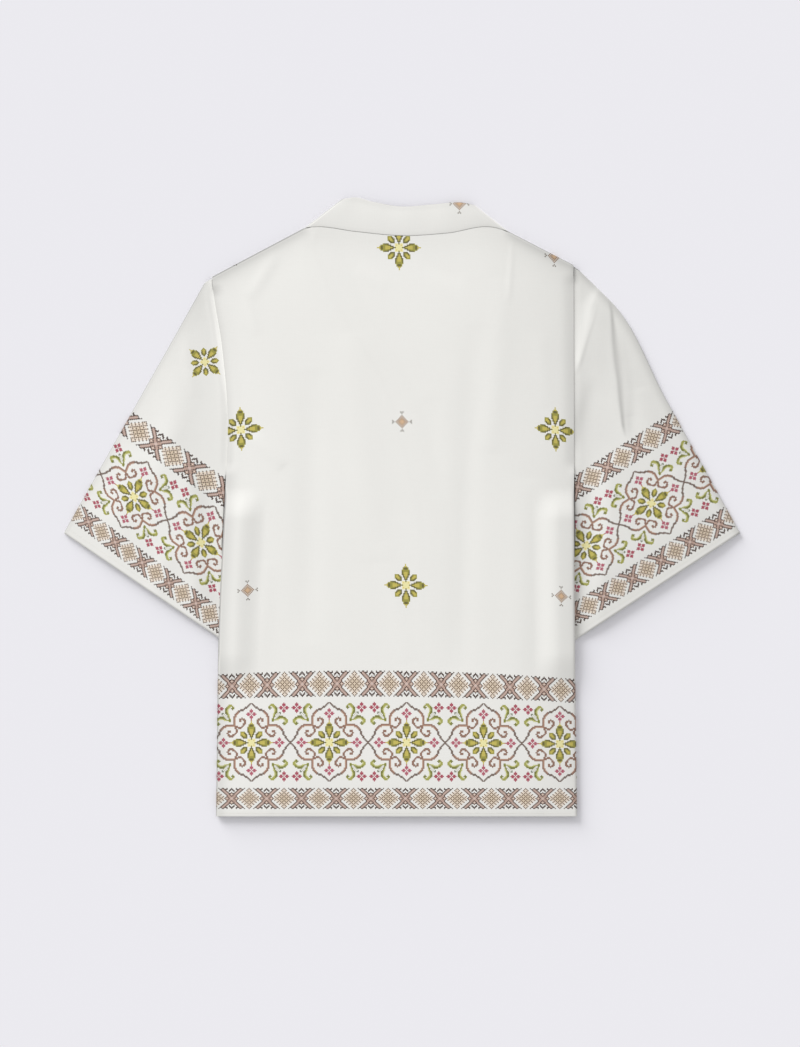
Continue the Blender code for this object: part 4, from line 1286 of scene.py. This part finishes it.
# %% [markdown]
# ## Joining the looks to the part
#
# Each shell takes the place of its solid and rides on the one rigid body. We also say how big each piece of
# cloth was when it was cut, so that the laid shape can be checked against it. The buttons stay as they are in
# the solid part, with the finish of satin plastic.

# %% Join to the part
FLAT_SIZES = {
    "back": (0.402, 0.648),
    "neck_band": (0.226, 0.042),
    "front_left": (0.232, 0.646),
    "front_right": (0.13, 0.642),
    "front_band_left": (0.05, 0.68),
    "front_band_right": (0.05, 0.66),
    "sleeve_left": (0.44, 0.33),
    "sleeve_right": (0.44, 0.34),
}
for node, size in FLAT_SIZES.items():
    item, area = cloths[node]
    sewn_on = [stitch_rows[node]] if node in stitch_rows else []
    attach(item, "root")
    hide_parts(node)
    print(node, size, "filled to", round(area / (size[0] * size[1]), 3))
for item in stitch_rows.values():
    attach(item, "root")
for index in range(1, len(BUTTON_YS) + 1):
    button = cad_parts[f"button_{index}"]
    button.data.materials.clear()
    button.data.materials.append(button_material)

# %% [markdown]
# ## The table, the light and the camera
#
# The shirt lies on a pale surface. A broad, low light at the upper left draws soft shadows to the lower right
# and picks out the creases, and an even sky fills the rest. The camera looks straight down.

# %% Stage
FLOOR_HALF = 3000.0
FLOOR_Z = -0.15
SKY_STRENGTH = 0.665
SUN_STRENGTH = 4.1
SUN_SPREAD = 36.0
SUN_TILT = 75.0
SUN_TURN = 217.0
CAMERA_HEIGHT = 4.0
SENSOR = 36.0
PHOTO_HEIGHT_PX = 1047
PHOTO_CENTRE_PX = (400.0, 523.5)

mesh = bpy.data.meshes.new("floor")
corners = np.array([[-1, -1], [1, -1], [1, 1], [-1, 1]]) * FLOOR_HALF
fill_mesh(mesh, np.insert(corners, 2, FLOOR_Z, axis=1), np.array([[0, 1, 2, 3]]))
floor_material, floor_shader = new_material("pale floor", 1.0)
floor_shader.inputs["Base Color"].default_value = linear(235, 234, 239)
floor_shader.inputs["Specular IOR Level"].default_value = 0.0
floor = add_object("floor", mesh, floor_material)

world = bpy.data.worlds.new("soft sky")
bpy.context.scene.world = world
world.use_nodes = True
world.node_tree.nodes["Background"].inputs["Color"].default_value = (1.0, 1.0, 1.0, 1.0)
world.node_tree.nodes["Background"].inputs["Strength"].default_value = SKY_STRENGTH

sun = bpy.data.lights.new("low window light", "SUN")
sun.energy = SUN_STRENGTH
sun.angle = np.radians(SUN_SPREAD)
sun_object = bpy.data.objects.new("low window light", sun)
sun_object.rotation_euler = (np.radians(SUN_TILT), 0.0, np.radians(SUN_TURN))
bpy.context.scene.collection.objects.link(sun_object)

camera_data = bpy.data.cameras.new("camera")
camera_data.sensor_fit = "AUTO"
camera_data.sensor_width = SENSOR
camera_data.lens = SENSOR * CAMERA_HEIGHT / (PHOTO_HEIGHT_PX * PIXEL * METRE)
camera_data.clip_end = 20.0
camera = bpy.data.objects.new("camera", camera_data)
view_x, view_y = from_pixels(*PHOTO_CENTRE_PX)
camera.location = (view_x * METRE, view_y * METRE, CAMERA_HEIGHT)
bpy.context.scene.collection.objects.link(camera)
bpy.context.scene.camera = camera
bpy.context.scene.view_settings.view_transform = "Standard"
bpy.context.scene.view_settings.look = "None"
